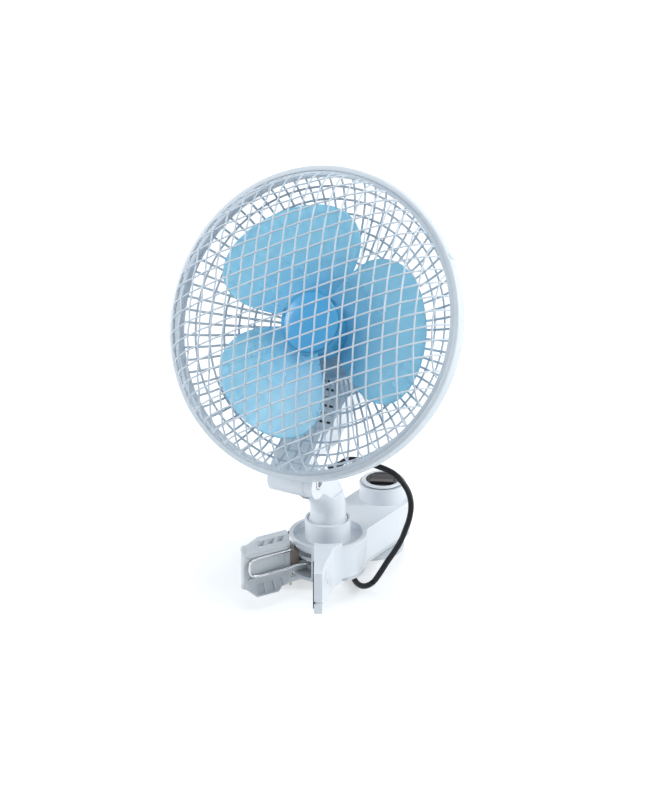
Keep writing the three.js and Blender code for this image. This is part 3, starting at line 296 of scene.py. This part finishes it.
# ---- cord ----
GLAND = np.array([4.2, 6.4, 40.6])
GLAND_WAY = np.array([0.72, 0.66, 0.2]) / np.linalg.norm([0.72, 0.66, 0.2])
CORD_ROUTE = np.array(
    [
        GLAND + 1.5 * GLAND_WAY, GLAND + 5 * GLAND_WAY, GLAND + 9 * GLAND_WAY, (15, 12.6, 43), (21, 10, 43),
        (29, 6, 42), (35.2, 4, 40.5), (40.7, 2, 38), (45.8, -0.3, 33), (49.3, -2, 27), (50.6, -4.5, 20.4),
        (49.7, -7, 13), (47.3, -9.3, 6.3), (44.6, -11.4, 0), (40.7, -12.2, -7), (36, -11.5, -15),
        (31.8, -10.3, -23), (27.8, -7.6, -30.4), (23, -3, -35.6), (18.8, 4, -38), (15.8, 14, -38.2),
        (16.8, 26, -38.2), (21, 38, -38.2), (24.4, 48, -38.2), (25.5, 57, -38.2),
    ]
)
# The coil's stages, in degrees turned: its start, winding in, climbing, winding out, widening, dropping
# back to the floor, and its end.
COIL_FIRST, COIL_INWARD, COIL_CLIMB, COIL_OUTWARD, COIL_WIDEN, COIL_DROP, COIL_LAST = (
    4.0, 150.0, 1230.0, 1290.0, 2580.0, 2615.0, 2700.1,
)
COIL_STEP = 15.0
STEEP = 0.75  # the share of the cord's way that is upright, over which it counts as steep


def cord_coil_line():
    """Two flat layers of cord. The radius falls from 27.5 to 11.9 on the floor, the line climbs one diameter,
    the radius grows back to 24.8, and the line drops to the floor outside the first turn at 27.3."""
    turn = np.arange(COIL_FIRST, COIL_LAST, COIL_STEP)
    radius = 27.5 - 3.9 * eased(turn / COIL_INWARD)
    radius -= 11.7 * np.clip((turn - COIL_INWARD) / (COIL_CLIMB - COIL_INWARD), 0, 1)
    radius += 12.9 * np.clip((turn - COIL_OUTWARD) / (COIL_WIDEN - COIL_OUTWARD), 0, 1)
    radius += 2.5 * eased((turn - COIL_WIDEN) / 100)
    height = FLOOR + CORD_R + 2 * CORD_R * (eased((turn - COIL_CLIMB) / 144) - eased((turn - COIL_DROP) / 85))
    a = np.radians(turn)
    return np.stack([COIL[0] + radius * np.cos(a), COIL[1] + radius * np.sin(a), height], -1)


def cord_line():
    """The whole cord from the gland to the plug: the sagging run, the coil, and the short lead."""
    lead = [(LEAD_X, COIL[1] - 4, FLOOR + CORD_R), (LEAD_X, PLUG_Y + 0.5, FLOOR + CORD_R)]
    sag = through(CORD_ROUTE, 5)
    return np.vstack([sag[:-1], through(np.vstack([cord_coil_line(), lead]), 2)])


def cord_normals(line):
    """Directions across the line: the world's Z, or (1, 0.2, 0) where the line is steep, less the share of it
    that is along the line."""
    way = np.gradient(line, axis=0)
    way /= np.linalg.norm(way, axis=1, keepdims=True)
    hint = np.where(np.abs(way[:, 2:3]) > STEEP, np.array([[1.0, 0.2, 0.0]]), np.array([[0.0, 0.0, 1.0]]))
    return hint - (hint * way).sum(1, keepdims=True) * way


cord_path = to_part(cord_line())
cord_points, cord_faces = tubes(cord_path[None], cord_normals(cord_path)[None], CORD_R * MM, sides=12)
cord = new_piece("cord", cord_points, cord_faces)


# ---- materials ----
def node(tree, kind, **settings):
    """A new node of a kind in the tree, with its properties set."""
    made = tree.nodes.new(kind)
    for key, value in settings.items():
        setattr(made, key, value)
    return made


def set_inputs(shader_node, values):
    """Sets the node's input sockets, named by the dictionary's keys, to its values."""
    for key, value in values.items():
        shader_node.inputs[key].default_value = value


def grain_group():
    """Fine moulded grain: two sizes of noise on Object coordinates, put out as a roughness and a normal."""
    tree = bpy.data.node_groups.new("moulded_grain", "ShaderNodeTree")
    ins = (("Fine", 900.0), ("Broad", 40.0), ("Rough low", 0.3), ("Rough high", 0.45), ("Depth", 0.05))
    for name, value in ins:
        tree.interface.new_socket(name, in_out="INPUT", socket_type="NodeSocketFloat").default_value = value
    tree.interface.new_socket("Roughness", in_out="OUTPUT", socket_type="NodeSocketFloat")
    tree.interface.new_socket("Normal", in_out="OUTPUT", socket_type="NodeSocketVector")
    tree.interface.new_socket("Cloud", in_out="OUTPUT", socket_type="NodeSocketFloat")
    start, end = node(tree, "NodeGroupInput"), node(tree, "NodeGroupOutput")
    place = node(tree, "ShaderNodeTexCoord")
    fine = node(tree, "ShaderNodeTexNoise")
    broad = node(tree, "ShaderNodeTexNoise")
    rough = node(tree, "ShaderNodeMapRange")
    bump = node(tree, "ShaderNodeBump")
    set_inputs(rough, {"From Min": 0.35, "From Max": 0.65})
    set_inputs(bump, {"Distance": 0.0002})
    link = tree.links.new
    for texture, size in ((fine, "Fine"), (broad, "Broad")):
        link(place.outputs["Object"], texture.inputs["Vector"])
        link(start.outputs[size], texture.inputs["Scale"])
    link(broad.outputs["Fac"], rough.inputs["Value"])
    link(start.outputs["Rough low"], rough.inputs["To Min"])
    link(start.outputs["Rough high"], rough.inputs["To Max"])
    link(fine.outputs["Fac"], bump.inputs["Height"])
    link(start.outputs["Depth"], bump.inputs["Strength"])
    link(rough.outputs["Result"], end.inputs["Roughness"])
    link(bump.outputs["Normal"], end.inputs["Normal"])
    link(broad.outputs["Fac"], end.inputs["Cloud"])
    return tree


GRAIN = grain_group()


def finish_of(name, light, dark, rough, fine=900.0, broad=40.0, depth=0.05, **constants):
    """A moulded or drawn finish: its colour drifts between two near tones with the broad noise, and roughness
    and a fine bump come from the grain group. Other keyword arguments are set on the shader's own sockets."""
    material = bpy.data.materials.new(name)
    material.use_nodes = True
    tree = material.node_tree
    shader = tree.nodes["Principled BSDF"]
    grain = node(tree, "ShaderNodeGroup", node_tree=GRAIN)
    tone = node(tree, "ShaderNodeMix", data_type="RGBA")
    set_inputs(grain, {"Fine": fine, "Broad": broad, "Depth": depth})
    set_inputs(grain, {"Rough low": rough[0], "Rough high": rough[1]})
    set_inputs(tone, {"A": (*light, 1), "B": (*dark, 1)})
    set_inputs(shader, {key.replace("_", " "): value for key, value in constants.items()})
    tree.links.new(grain.outputs["Cloud"], tone.inputs["Factor"])
    tree.links.new(tone.outputs["Result"], shader.inputs["Base Color"])
    tree.links.new(grain.outputs["Roughness"], shader.inputs["Roughness"])
    tree.links.new(grain.outputs["Normal"], shader.inputs["Normal"])
    return material


def deepen_near_shaft(material, deep, start, end):
    """Mixes a deeper colour into a material's own: 0.7 of it at start metres from the shaft, none at end."""
    tree = material.node_tree
    shader = tree.nodes["Principled BSDF"]
    plain = shader.inputs["Base Color"].links[0].from_socket
    place = node(tree, "ShaderNodeTexCoord")
    reach = node(tree, "ShaderNodeVectorMath", operation="DISTANCE")
    share = node(tree, "ShaderNodeMapRange")
    tone = node(tree, "ShaderNodeMix", data_type="RGBA")
    reach.inputs[1].default_value = tuple(to_part(HEAD))
    set_inputs(share, {"From Min": start, "From Max": end, "To Min": 0.7, "To Max": 0.0})
    set_inputs(tone, {"B": (*deep, 1)})
    tree.links.new(place.outputs["Object"], reach.inputs[0])
    tree.links.new(reach.outputs["Value"], share.inputs["Value"])
    tree.links.new(share.outputs["Result"], tone.inputs["Factor"])
    tree.links.new(plain, tone.inputs["A"])
    tree.links.new(tone.outputs["Result"], shader.inputs["Base Color"])


white_plastic = finish_of("white_plastic", (0.78, 0.82, 0.86), (0.74, 0.79, 0.84), (0.26, 0.38))
# The hoop's white plastic toned down to grey-blue so that its top and underside, turned from the lamps, read
# darker: painted shade.
hoop_white_painted_shade = finish_of("hoop_white_painted_shade", (0.66, 0.72, 0.77), (0.61, 0.67, 0.72), (0.26, 0.38), depth=0.03)
grille_white = finish_of("grille_white", (0.60, 0.67, 0.73), (0.53, 0.60, 0.67), (0.24, 0.36), depth=0.03)
grey_plastic = finish_of(
    "grey_white_plastic", (0.66, 0.70, 0.73), (0.60, 0.64, 0.67), (0.40, 0.52), depth=0.1,
)
# A dark warm brown-grey: painted shade for the recess where the moving jaw's root runs into the lobe.
warm_painted_shade_plastic = finish_of(
    "warm_plastic_painted_shade", (0.30, 0.25, 0.22), (0.24, 0.20, 0.18), (0.42, 0.55), depth=0.1,
)
blade_blue = finish_of(
    "clear_blue_plastic", (0.36, 0.72, 0.90), (0.33, 0.69, 0.88), (0.2, 0.3), depth=0.02,
    Transmission_Weight=0.4, IOR=1.3,
)
deepen_near_shaft(blade_blue, (0.14, 0.54, 0.86), 0.020, 0.050)
hub_blue = finish_of(
    "hub_blue_plastic", (0.10, 0.46, 0.76), (0.08, 0.42, 0.72), (0.18, 0.28), depth=0.02,
    Transmission_Weight=0.2, IOR=1.4,
)
cap_blue = finish_of("deep_blue_plastic", (0.08, 0.42, 0.75), (0.07, 0.38, 0.71), (0.18, 0.28), depth=0.02)
black_plastic = finish_of(
    "black_plastic", (0.012, 0.013, 0.015), (0.02, 0.021, 0.024), (0.32, 0.46), depth=0.12,
)
cord_black = finish_of(
    "cord_black", (0.004, 0.005, 0.007), (0.007, 0.008, 0.010), (0.34, 0.44), fine=1600.0,
    Specular_IOR_Level=0.28,
)
rubber = finish_of("black_rubber", (0.016, 0.017, 0.018), (0.03, 0.031, 0.033), (0.62, 0.8), depth=0.3)
steel = finish_of(
    "bright_steel", (0.66, 0.67, 0.69), (0.56, 0.57, 0.60), (0.14, 0.3), fine=2500.0, Metallic=1.0,
)
laminate = finish_of("dark_laminate", (0.12, 0.13, 0.14), (0.08, 0.09, 0.1), (0.4, 0.6), Metallic=0.8)
copper = finish_of(
    "copper_wire", (0.55, 0.2, 0.08), (0.42, 0.14, 0.05), (0.25, 0.4), fine=3000.0, Metallic=1.0,
)
brass = finish_of("brass", (0.46, 0.43, 0.36), (0.40, 0.37, 0.31), (0.22, 0.36), Metallic=1.0)


# ---- moulded pieces that keep their CAD shape, with merged faces and softened edges ----
MERGE_REACH = 2e-6  # metres
MERGE_ANGLE = math.radians(1.5)
SOFTEN_OVER = math.radians(38)


def moulded(node_name, body, material, soften, smooth_angle=32):
    """A copy of a CAD node's mesh: doubles merged, flat triangles joined, sharp edges softened by a bevel."""
    mesh = nodes[node_name].data.copy()
    form = bmesh.new()
    form.from_mesh(mesh)
    bmesh.ops.remove_doubles(form, verts=form.verts, dist=MERGE_REACH)
    bmesh.ops.dissolve_limit(form, angle_limit=MERGE_ANGLE, verts=form.verts, edges=form.edges, delimit=set())
    form.to_mesh(mesh)
    form.free()
    mesh.name = node_name + "_form"
    piece = placed_piece(node_name + "_form", mesh, smooth_angle)
    if soften:
        soften_edges(
            piece, soften, limit_method="ANGLE", angle_limit=SOFTEN_OVER, use_clamp_overlap=True,
            harden_normals=True,
        )
    finish_piece(piece, body, material, (node_name,))


moulded("base_body", "base", white_plastic, 0.6)
moulded("base_cover", "base", grey_plastic, 0.4)
moulded("fixed_jaw_pad", "base", rubber, 0.15)
moulded("moving_jaw", "jaw", grey_plastic, 0.35)
moulded("switch_bezel", "base", black_plastic, 0.25)
moulded("switch_rocker", "rocker", black_plastic, 0.3)
moulded("neck", "neck_arm", white_plastic, 0.5)
moulded("motor_housing", "head", white_plastic, 0.5)
moulded("motor_rear_cover", "head", white_plastic, 0.4)
moulded("grille_nut", "head", white_plastic, 0.3)
moulded("plug_body", "neck_arm", black_plastic, 0.9)
moulded("plug_blade_left", "neck_arm", brass, 0.15)
moulded("plug_blade_right", "neck_arm", brass, 0.15)
moulded("jaw_spring", "jaw", steel, 0, smooth_angle=70)
moulded("jaw_pin", "base", steel, 0.2)
moulded("tilt_bolt", "neck_arm", steel, 0.2)
moulded("tilt_nut", "neck_arm", steel, 0.2)
moulded("cover_screw_left", "base", steel, 0.15)
moulded("cover_screw_right", "base", steel, 0.15)
moulded("cord_gland", "neck_arm", rubber, 0.2)

# The inner pieces are shown by their CAD nodes, whose meshes are left as they are.
for node_name, material in {
    "neck_retainer": steel, "motor_shaft": steel, "front_bearing": brass, "rear_bearing": brass,
    "stator_core": laminate, "rotor_core": laminate, "stator_coil_upper": copper, "stator_coil_lower": copper,
}.items():
    nodes[node_name].data.materials.clear()
    nodes[node_name].data.materials.append(material)


def strain_relief():
    """The ribbed sleeve where the cord enters the plug: rings that narrow, flat where they meet the floor."""
    bore = CORD_R + 0.05
    profile = [(bore, GAP)]
    for k in range(RIBS):
        start = GAP + RIB_PITCH * k
        r = RIB_R - RIB_TAPER * k
        profile += [(r - 0.6, start), (r, start + 0.3), (r, start + 1.0), (r - 0.6, start + 1.3)]
    profile.append((bore, profile[-1][1]))
    points, faces = lathe(profile, 32)
    x, y, z = points.T
    height = np.maximum(FLOOR + CORD_R - y, FLOOR + 0.05)
    laid = to_part(np.stack([LEAD_X + x, PLUG_Y + z, height], -1))
    piece = new_piece("plug_strain_relief", laid, faces, 40)
    finish_piece(piece, "neck_arm", rubber)


strain_relief()
finish_piece(cord, "neck_arm", cord_black, ("cord_tube", "cord_coil", "cord_lead"))


# ---- the jaw's root: plates of the moving jaw, outlined along it and up, in its upright plane ----
JAW_PLATE_FACES = (-2.9, -0.12)
JAW_ROOT = [
    (9.6, -16.7), (9.6, -7.2), (13.2, -7.2), (13.2, -3.4), (15.6, -3.4), (15.6, 0.6), (17.6, 0.9),
    (17.6, -16.0), (13.4, -16.7),
]
JAW_SHOULDER = [
    (3.2, -27.0), (3.2, -24.3), (15.9, -24.3), (15.9, -20.9), (20.5, -20.9), (21.5, -29.0), (16.5, -28.0),
]


def jaw_plate(name, outline, material):
    """A flat plate of the jaw: the outline at each of JAW_PLATE_FACES, with walls between."""
    o = np.asarray(outline, float)
    n = len(o)
    sheets = [np.stack([o[:, 0], np.full(n, face), o[:, 1]], -1) for face in JAW_PLATE_FACES]
    i = np.arange(n)
    walls = np.stack([i, (i + 1) % n, (i + 1) % n + n, i + n], -1).tolist()
    piece = new_piece(name, jaw_to_part(np.vstack(sheets)), [i[::-1].tolist(), (i + n).tolist()] + walls)
    soften_edges(piece, 0.3)
    finish_piece(piece, "jaw", material)


# The root plate carries the painted shade of the recess by the lobe.
jaw_plate("jaw_root", JAW_ROOT, warm_painted_shade_plastic)
jaw_plate("jaw_shoulder", JAW_SHOULDER, grey_plastic)


def switch_surround():
    """The white top of the switch barrel round the black switch: a flat ring with a softened rim, turned."""
    z = BARREL_TOP + GAP
    low, top = z + 0.2, z + SURROUND_TALL
    profile = [
        (SWITCH_SHOWN_R, low), (SURROUND_R, low), (SURROUND_R, z + 1.25), (SURROUND_R - 0.55, top),
        (SWITCH_SHOWN_R, top),
    ]
    points, faces = lathe(rounded_profile(profile, 0.35), 96)
    piece = new_piece("switch_surround", to_part(points + BARREL), faces, 40)
    finish_piece(piece, "base", white_plastic)


switch_surround()


# ---- guard ----
BORDER_FRONT = [(BORDER_IN, 0.2), (BORDER_OUT, 0.2), (BORDER_OUT, 4.2), (BORDER_IN, 4.2)]
BORDER_REAR = [(BORDER_IN, -4.2), (BORDER_OUT, -4.2), (BORDER_OUT, -0.2), (BORDER_IN, -0.2)]


def dome_height(r):
    """Height of the front grille over the rim's plane: 4 + 34 (1 - (r/R)^3.5)^(1/2.2)."""
    t = np.clip(r / MESH_R, 0, 0.99995)
    return DOME_BASE + DOME_RISE * (1 - t**3.5) ** (1 / 2.2)


def rear_height(r):
    """Height of the rear grille: -4 - 25.03 (1 - (r/R)^3)^0.75."""
    t = np.clip(r / MESH_R, 0, 1)
    return -DOME_BASE - (-PLATE_Z - DOME_BASE) * 1.03 * (1 - t**3) ** 0.75


def outward_normals(x, y, height):
    """Unit normals of the surface z = height(r): (-slope x/r, -slope y/r, 1), the slope held to 3."""
    r = np.hypot(x, y)
    slope = np.clip((height(r + 0.05) - height(np.maximum(r - 0.05, 0))) / 0.1, -3, 3)
    safe = np.maximum(r, 1e-6)
    n = np.stack([-slope * x / safe, -slope * y / safe, np.ones_like(x)], -1)
    return n / np.linalg.norm(n, axis=-1, keepdims=True)


def wire_family(this, other, lift_sign, samples=72):
    """Wires that run along one lattice direction, one for each step of the other. A wire at distance d from
    the shaft runs s = sqrt(R^2 - d^2) sin u each way, on the dome, and is lifted by +-WEAVE cos(pi k) at
    crossing k, a lift that fades between radii 80 and 88."""
    along = np.array([math.cos(this[1]), math.sin(this[1])])
    across = np.array([-along[1], along[0]])
    step = np.array([math.cos(other[1]), math.sin(other[1])]) * other[0]
    k = np.arange(-16, 17)
    base = np.array(LATTICE_ORIGIN) + k[:, None] * step
    d = base @ across
    inside = np.abs(d) < WIRE_REACH - 2.5
    k, base, d = k[inside], base[inside], d[inside]
    s = np.sqrt(WIRE_REACH**2 - d**2)[:, None] * np.sin(np.linspace(-np.pi / 2, np.pi / 2, samples))
    x = along[0] * s + across[0] * d[:, None]
    y = along[1] * s + across[1] * d[:, None]
    r = np.hypot(x, y)
    n = outward_normals(x, y, dome_height)
    crossing = (s - (base @ along)[:, None]) / this[0] + k[:, None]
    fade = 1 - eased((r - 80) / 8)
    lift = lift_sign * WEAVE * np.cos(np.pi * crossing) * fade
    path = np.stack([x, y, dome_height(r)], -1) + n * (lift - WIRE_R)[..., None]
    return tubes(path, n, WIRE_R)


def front_grille():
    """Both wire families, their ends let into the border ring."""
    rim = lathe(rounded_profile(BORDER_FRONT, 0.6), 144)
    points, faces = joined([wire_family(WIRE_B, WIRE_A, 1.0), wire_family(WIRE_A, WIRE_B, -1.0), rim])
    piece = new_piece("front_grille_wires", head_to_part(points), faces, 50)
    finish_piece(piece, "head", grille_white, ("front_grille",))


def rear_grille():
    """Radial spokes on the rear surface, rings laid on them, the centre plate and the border ring."""
    a = np.arange(REAR_SPOKES)[:, None] * 2 * np.pi / REAR_SPOKES
    inner = PLATE_R - 1.4
    r = inner + (SPOKE_REACH - inner) * np.sin(np.linspace(0, np.pi / 2, 40))[None]
    x, y = r * np.cos(a), r * np.sin(a)
    n = outward_normals(x, y, rear_height)
    spokes = np.stack([x, y, rear_height(np.broadcast_to(r, x.shape)) + REAR_LIFT], -1)
    forms = [tubes(spokes, n, SPOKE_R, sides=6)]
    t = np.arange(8) * np.pi / 4
    for ring_r in REAR_RINGS:
        z = float(rear_height(np.array(ring_r))) + REAR_LIFT
        section = np.stack([ring_r + REAR_RING_R * np.cos(t), z + REAR_RING_R * np.sin(t)], -1)
        forms.append(lathe(section, 144))
    plate = [
        (PLATE_HOLE_R, PLATE_Z - 0.2), (PLATE_R, PLATE_Z - 0.2), (PLATE_R, PLATE_Z + 2.2),
        (PLATE_R - 2, PLATE_Z + 2.2), (PLATE_R - 3, PLATE_Z + 1.8), (PLATE_HOLE_R, PLATE_Z + 1.8),
    ]
    forms += [lathe(rounded_profile(profile, 0.5), 144) for profile in (plate, BORDER_REAR)]
    points, faces = joined(forms)
    piece = new_piece("rear_grille_wires", head_to_part(points), faces, 50)
    finish_piece(piece, "head", grille_white, ("rear_grille",))


def guard_hoop():
    """The clip-on hoop that holds both grilles: a shallow channel turned about the shaft, its lips rolled."""
    z, lip, inside = HOOP_SHOWN_HALF, BORDER_OUT - 0.2, HOOP_R - HOOP_WALL
    profile = [
        (inside, HOOP_LIP - z), (lip, HOOP_LIP - z), (lip, -z), (HOOP_R, -z), (HOOP_R, z),
        (lip, z), (lip, z - HOOP_LIP), (inside, z - HOOP_LIP),
    ]
    points, faces = lathe(rounded_profile(profile, 1.5, 5), 192)
    piece = new_piece("guard_hoop_band", head_to_part(points), faces, 60)
    # Its grey-blue finish is painted shade on white plastic.
    finish_piece(piece, "head", hoop_white_painted_shade, ("guard_hoop",))


def hoop_joint():
    """The small tab that closes the hoop, on its outside at the upper right, and its twin, lower left."""
    tabs = []
    for turn in HOOP_TABS:
        c, s = math.cos(turn), math.sin(turn)
        tabs.append(
            [
                (r * c - side * s, r * s + side * c, z)
                for r in (HOOP_R - 0.4, HOOP_R + 0.55)
                for side, z in ((-1.6, -3.4), (1.6, -3.4), (1.6, 3.4), (-1.6, 3.4))
            ]
        )
    points, faces = boxes(tabs)
    piece = new_piece("hoop_joint", head_to_part(points), faces)
    soften_edges(piece, 0.25)
    finish_piece(piece, "head", hoop_white_painted_shade)


def vent_painted_shade():
    """Painted shade for the dark hollow seen through each slot of the motor column: seven black bars that
    fill the slots, each a box from behind the column's wall to its face."""
    bars = []
    for k, front in enumerate(VENT_FRONTS):
        low, high = VENT_FIRST + VENT_PITCH * k - VENT_HALF, VENT_FIRST + VENT_PITCH * k + VENT_HALF
        bars.append(
            [
                (x, y, z)
                for z in (front - VENT_DEEP, front)
                for x, y in ((VENT_LEFT, low), (VENT_RIGHT, low), (VENT_RIGHT, high), (VENT_LEFT, high))
            ]
        )
    points, faces = boxes(bars)
    piece = new_piece("vent_painted_shade", head_to_part(points), faces)
    # Black for the shade inside the column: painted shade, not a part of black plastic.
    finish_piece(piece, "head", black_plastic)


front_grille()
rear_grille()
guard_hoop()
hoop_joint()
vent_painted_shade()


# ---- rotor ----
def blade_sheet(centre, rows=28, columns=56):
    """One blade as a grid on (u out along it, v round it): r = hub + u (edge - hub), with
    edge = 73 - 18 |v|^5 - 2 max(v, 0); angle = centre + v 54 (1 - 0.1 u^3) degrees;
    lift = -1.6 + 10 (1 - 0.15 u) v + 5 u max(v, 0) + 1.6 cos(pi v / 2) u.
    The two faces stand half the thickness off it, less within 1.2 of the edge, where they round over."""
    u = (1 - np.cos(np.linspace(0, np.pi, rows)))[:, None] / 2
    v = np.sin(np.linspace(-np.pi / 2, np.pi / 2, columns))[None]
    root = HUB_R - 0.6
    edge = BLADE_TIP_R - BLADE_CORNER * np.abs(v) ** 5 - BLADE_SLANT * np.maximum(v, 0)
    r = root + u * (edge - root)
    a = centre + v * BLADE_HALF * (1 - 0.1 * u**3)
    lift = -BLADE_SINK + BLADE_PITCH * (1 - 0.15 * u) * v
    lift = lift + BLADE_FLICK * u * np.maximum(v, 0) + BLADE_BELLY * np.cos(np.pi * v / 2) * u
    middle = np.stack([r * np.cos(a), r * np.sin(a), lift], -1)
    edge_near = np.minimum((1 - u) * (edge - root), (1 - np.abs(v)) * r * BLADE_HALF)
    half = BLADE_THICK / 2 * np.sqrt(np.clip(1 - (1 - np.clip(edge_near / 1.2, 0, 1)) ** 2, 0.02, 1))
    off = np.stack([np.zeros_like(half), np.zeros_like(half), half], -1)
    top = (middle + off).reshape(-1, 3)
    under = (middle - off).reshape(-1, 3)
    count = rows * columns
    upper = grid_faces(rows, columns)
    border = np.concatenate(
        [
            np.arange(columns), np.arange(1, rows) * columns + columns - 1,
            count - 2 - np.arange(columns - 1), np.arange(rows - 2, 0, -1) * columns,
        ]
    )
    after = np.roll(border, -1)
    walls = np.stack([border, after, after + count, border + count], -1)
    return np.vstack([top, under]), np.vstack([upper, upper[:, ::-1] + count, walls]).tolist()


def impeller():
    """Three blades, and the hub in a deeper tint: a cup and the sleeve on the shaft, both turned."""
    points, faces = joined(blade_sheet(BLADE_CENTRE + math.radians(120 * k)) for k in range(3))
    blades = new_piece("impeller_blades", head_to_part(points), faces, 50)
    finish_piece(blades, "rotor", blade_blue, ("impeller",))
    inside, floor, face = HUB_R - 1.8, HUB_FRONT - 2.4, HUB_FRONT - 0.8
    cup = [
        (SHAFT_HOLE_R, floor), (inside, floor), (inside, HUB_BACK), (HUB_R, HUB_BACK), (HUB_R, face),
        (SHAFT_HOLE_R, face),
    ]
    low, top = HUB_BACK + 1, HUB_FRONT - 2
    sleeve = [(SHAFT_HOLE_R, low), (5, low), (5, top), (SHAFT_HOLE_R, top)]
    points, faces = joined([lathe(rounded_profile(cup, 0.9), 96), lathe(rounded_profile(sleeve, 0.3), 48)])
    hub = new_piece("impeller_hub", head_to_part(points), faces, 50)
    finish_piece(hub, "rotor", hub_blue)


def hub_cap():
    """The cap on the hub, turned: r sin(s pi/2) out and 2.9 cos(s pi/2)^0.8 up from its flat back."""
    z, r = HUB_FRONT - 0.5, HUB_R - 2.4
    s = np.linspace(0, 1, 24)
    dome = np.stack([r * np.sin(s * np.pi / 2), z + CAP_RISE * np.cos(s * np.pi / 2) ** 0.8], -1)[1:]
    profile = np.vstack([[(0.01, z)], [(r, z)], dome[::-1], [(0.01, z + CAP_RISE)]])
    points, faces = lathe(profile, 96)
    piece = new_piece("hub_cap_form", head_to_part(points), faces, 50)
    finish_piece(piece, "rotor", cap_blue, ("hub_cap",))


impeller()
hub_cap()


# ---- floor, light and air round it, metres ----
FLOOR_HALF = 3.0
FLOOR_LIFT = 0.42
GLOW_NEAR, GLOW_FAR = 0.5, 1.5
LAMP_SIZE, LAMP_AIM = 0.6, Vector((0.0, 0.05, 0.1))


def seen_directly(tree):
    """1 for rays from the camera, from a mirror or through a clear piece, else 0: the three's largest."""
    path = node(tree, "ShaderNodeLightPath")
    first = node(tree, "ShaderNodeMath", operation="MAXIMUM")
    both = node(tree, "ShaderNodeMath", operation="MAXIMUM")
    tree.links.new(path.outputs["Is Camera Ray"], first.inputs[0])
    tree.links.new(path.outputs["Is Glossy Ray"], first.inputs[1])
    tree.links.new(first.outputs[0], both.inputs[0])
    tree.links.new(path.outputs["Is Transmission Ray"], both.inputs[1])
    return both.outputs[0]


def floor_white():
    """The floor's finish, seen as white by the camera but for the fan's shadow. Its own glow grows from
    FLOOR_LIFT at GLOW_NEAR to 1 at GLOW_FAR, where the lamps no longer reach."""
    material = bpy.data.materials.new("floor_white")
    material.use_nodes = True
    tree = material.node_tree
    shader = tree.nodes["Principled BSDF"]
    glow = node(tree, "ShaderNodeEmission")
    whole = node(tree, "ShaderNodeAddShader")
    blend = node(tree, "ShaderNodeMixShader")
    place = node(tree, "ShaderNodeTexCoord")
    reach = node(tree, "ShaderNodeVectorMath", operation="LENGTH")
    lift = node(tree, "ShaderNodeMapRange")
    set_inputs(shader, {"Base Color": (0.82, 0.84, 0.86, 1), "Roughness": 0.9, "Specular IOR Level": 0.1})
    set_inputs(lift, {"From Min": GLOW_NEAR, "From Max": GLOW_FAR, "To Min": FLOOR_LIFT, "To Max": 1.0})
    tree.links.new(place.outputs["Object"], reach.inputs[0])
    tree.links.new(reach.outputs["Value"], lift.inputs["Value"])
    tree.links.new(lift.outputs["Result"], glow.inputs["Strength"])
    tree.links.new(shader.outputs[0], whole.inputs[0])
    tree.links.new(glow.outputs[0], whole.inputs[1])
    tree.links.new(seen_directly(tree), blend.inputs["Fac"])
    tree.links.new(shader.outputs[0], blend.inputs[1])
    tree.links.new(whole.outputs[0], blend.inputs[2])
    tree.links.new(blend.outputs[0], tree.nodes["Material Output"].inputs["Surface"])
    return material


def stage_floor():
    """A plain square just under the lowest point."""
    a, z = FLOOR_HALF, cad_low[2] - 0.0002
    floor = new_piece("floor", [(-a, -a, z), (a, -a, z), (a, a, z), (-a, a, z)], [(0, 1, 2, 3)])
    floor.data.materials.append(floor_white())


def area_lamp(name, place, power):
    """A square soft lamp at place, turned to face LAMP_AIM."""
    data = bpy.data.lights.new(name, "AREA")
    data.shape = "SQUARE"
    data.size = LAMP_SIZE
    data.energy = power
    lamp = bpy.data.objects.new(name, data)
    bpy.context.scene.collection.objects.link(lamp)
    lamp.location = place
    lamp.rotation_euler = (LAMP_AIM - Vector(place)).to_track_quat("-Z", "Y").to_euler()


def white_world():
    """Even sky light; rays from the camera, mirrors and clear pieces meet plain white."""
    world = bpy.data.worlds.new("studio")
    bpy.context.scene.world = world
    world.use_nodes = True
    tree = world.node_tree
    sky = tree.nodes["Background"]
    white = node(tree, "ShaderNodeBackground")
    mix = node(tree, "ShaderNodeMixShader")
    set_inputs(sky, {"Color": (0.86, 0.93, 1.0, 1), "Strength": 0.36})
    set_inputs(white, {"Color": (1, 1, 1, 1)})
    tree.links.new(seen_directly(tree), mix.inputs["Fac"])
    tree.links.new(sky.outputs[0], mix.inputs[1])
    tree.links.new(white.outputs[0], mix.inputs[2])
    tree.links.new(mix.outputs[0], tree.nodes["World Output"].inputs["Surface"])


stage_floor()
white_world()
area_lamp("left", (-1.3, 0.0, 0.6), 9.5)
area_lamp("right", (1.2, -0.1, 0.6), 10.5)
area_lamp("above", (0.1, -0.3, 1.5), 9.0)
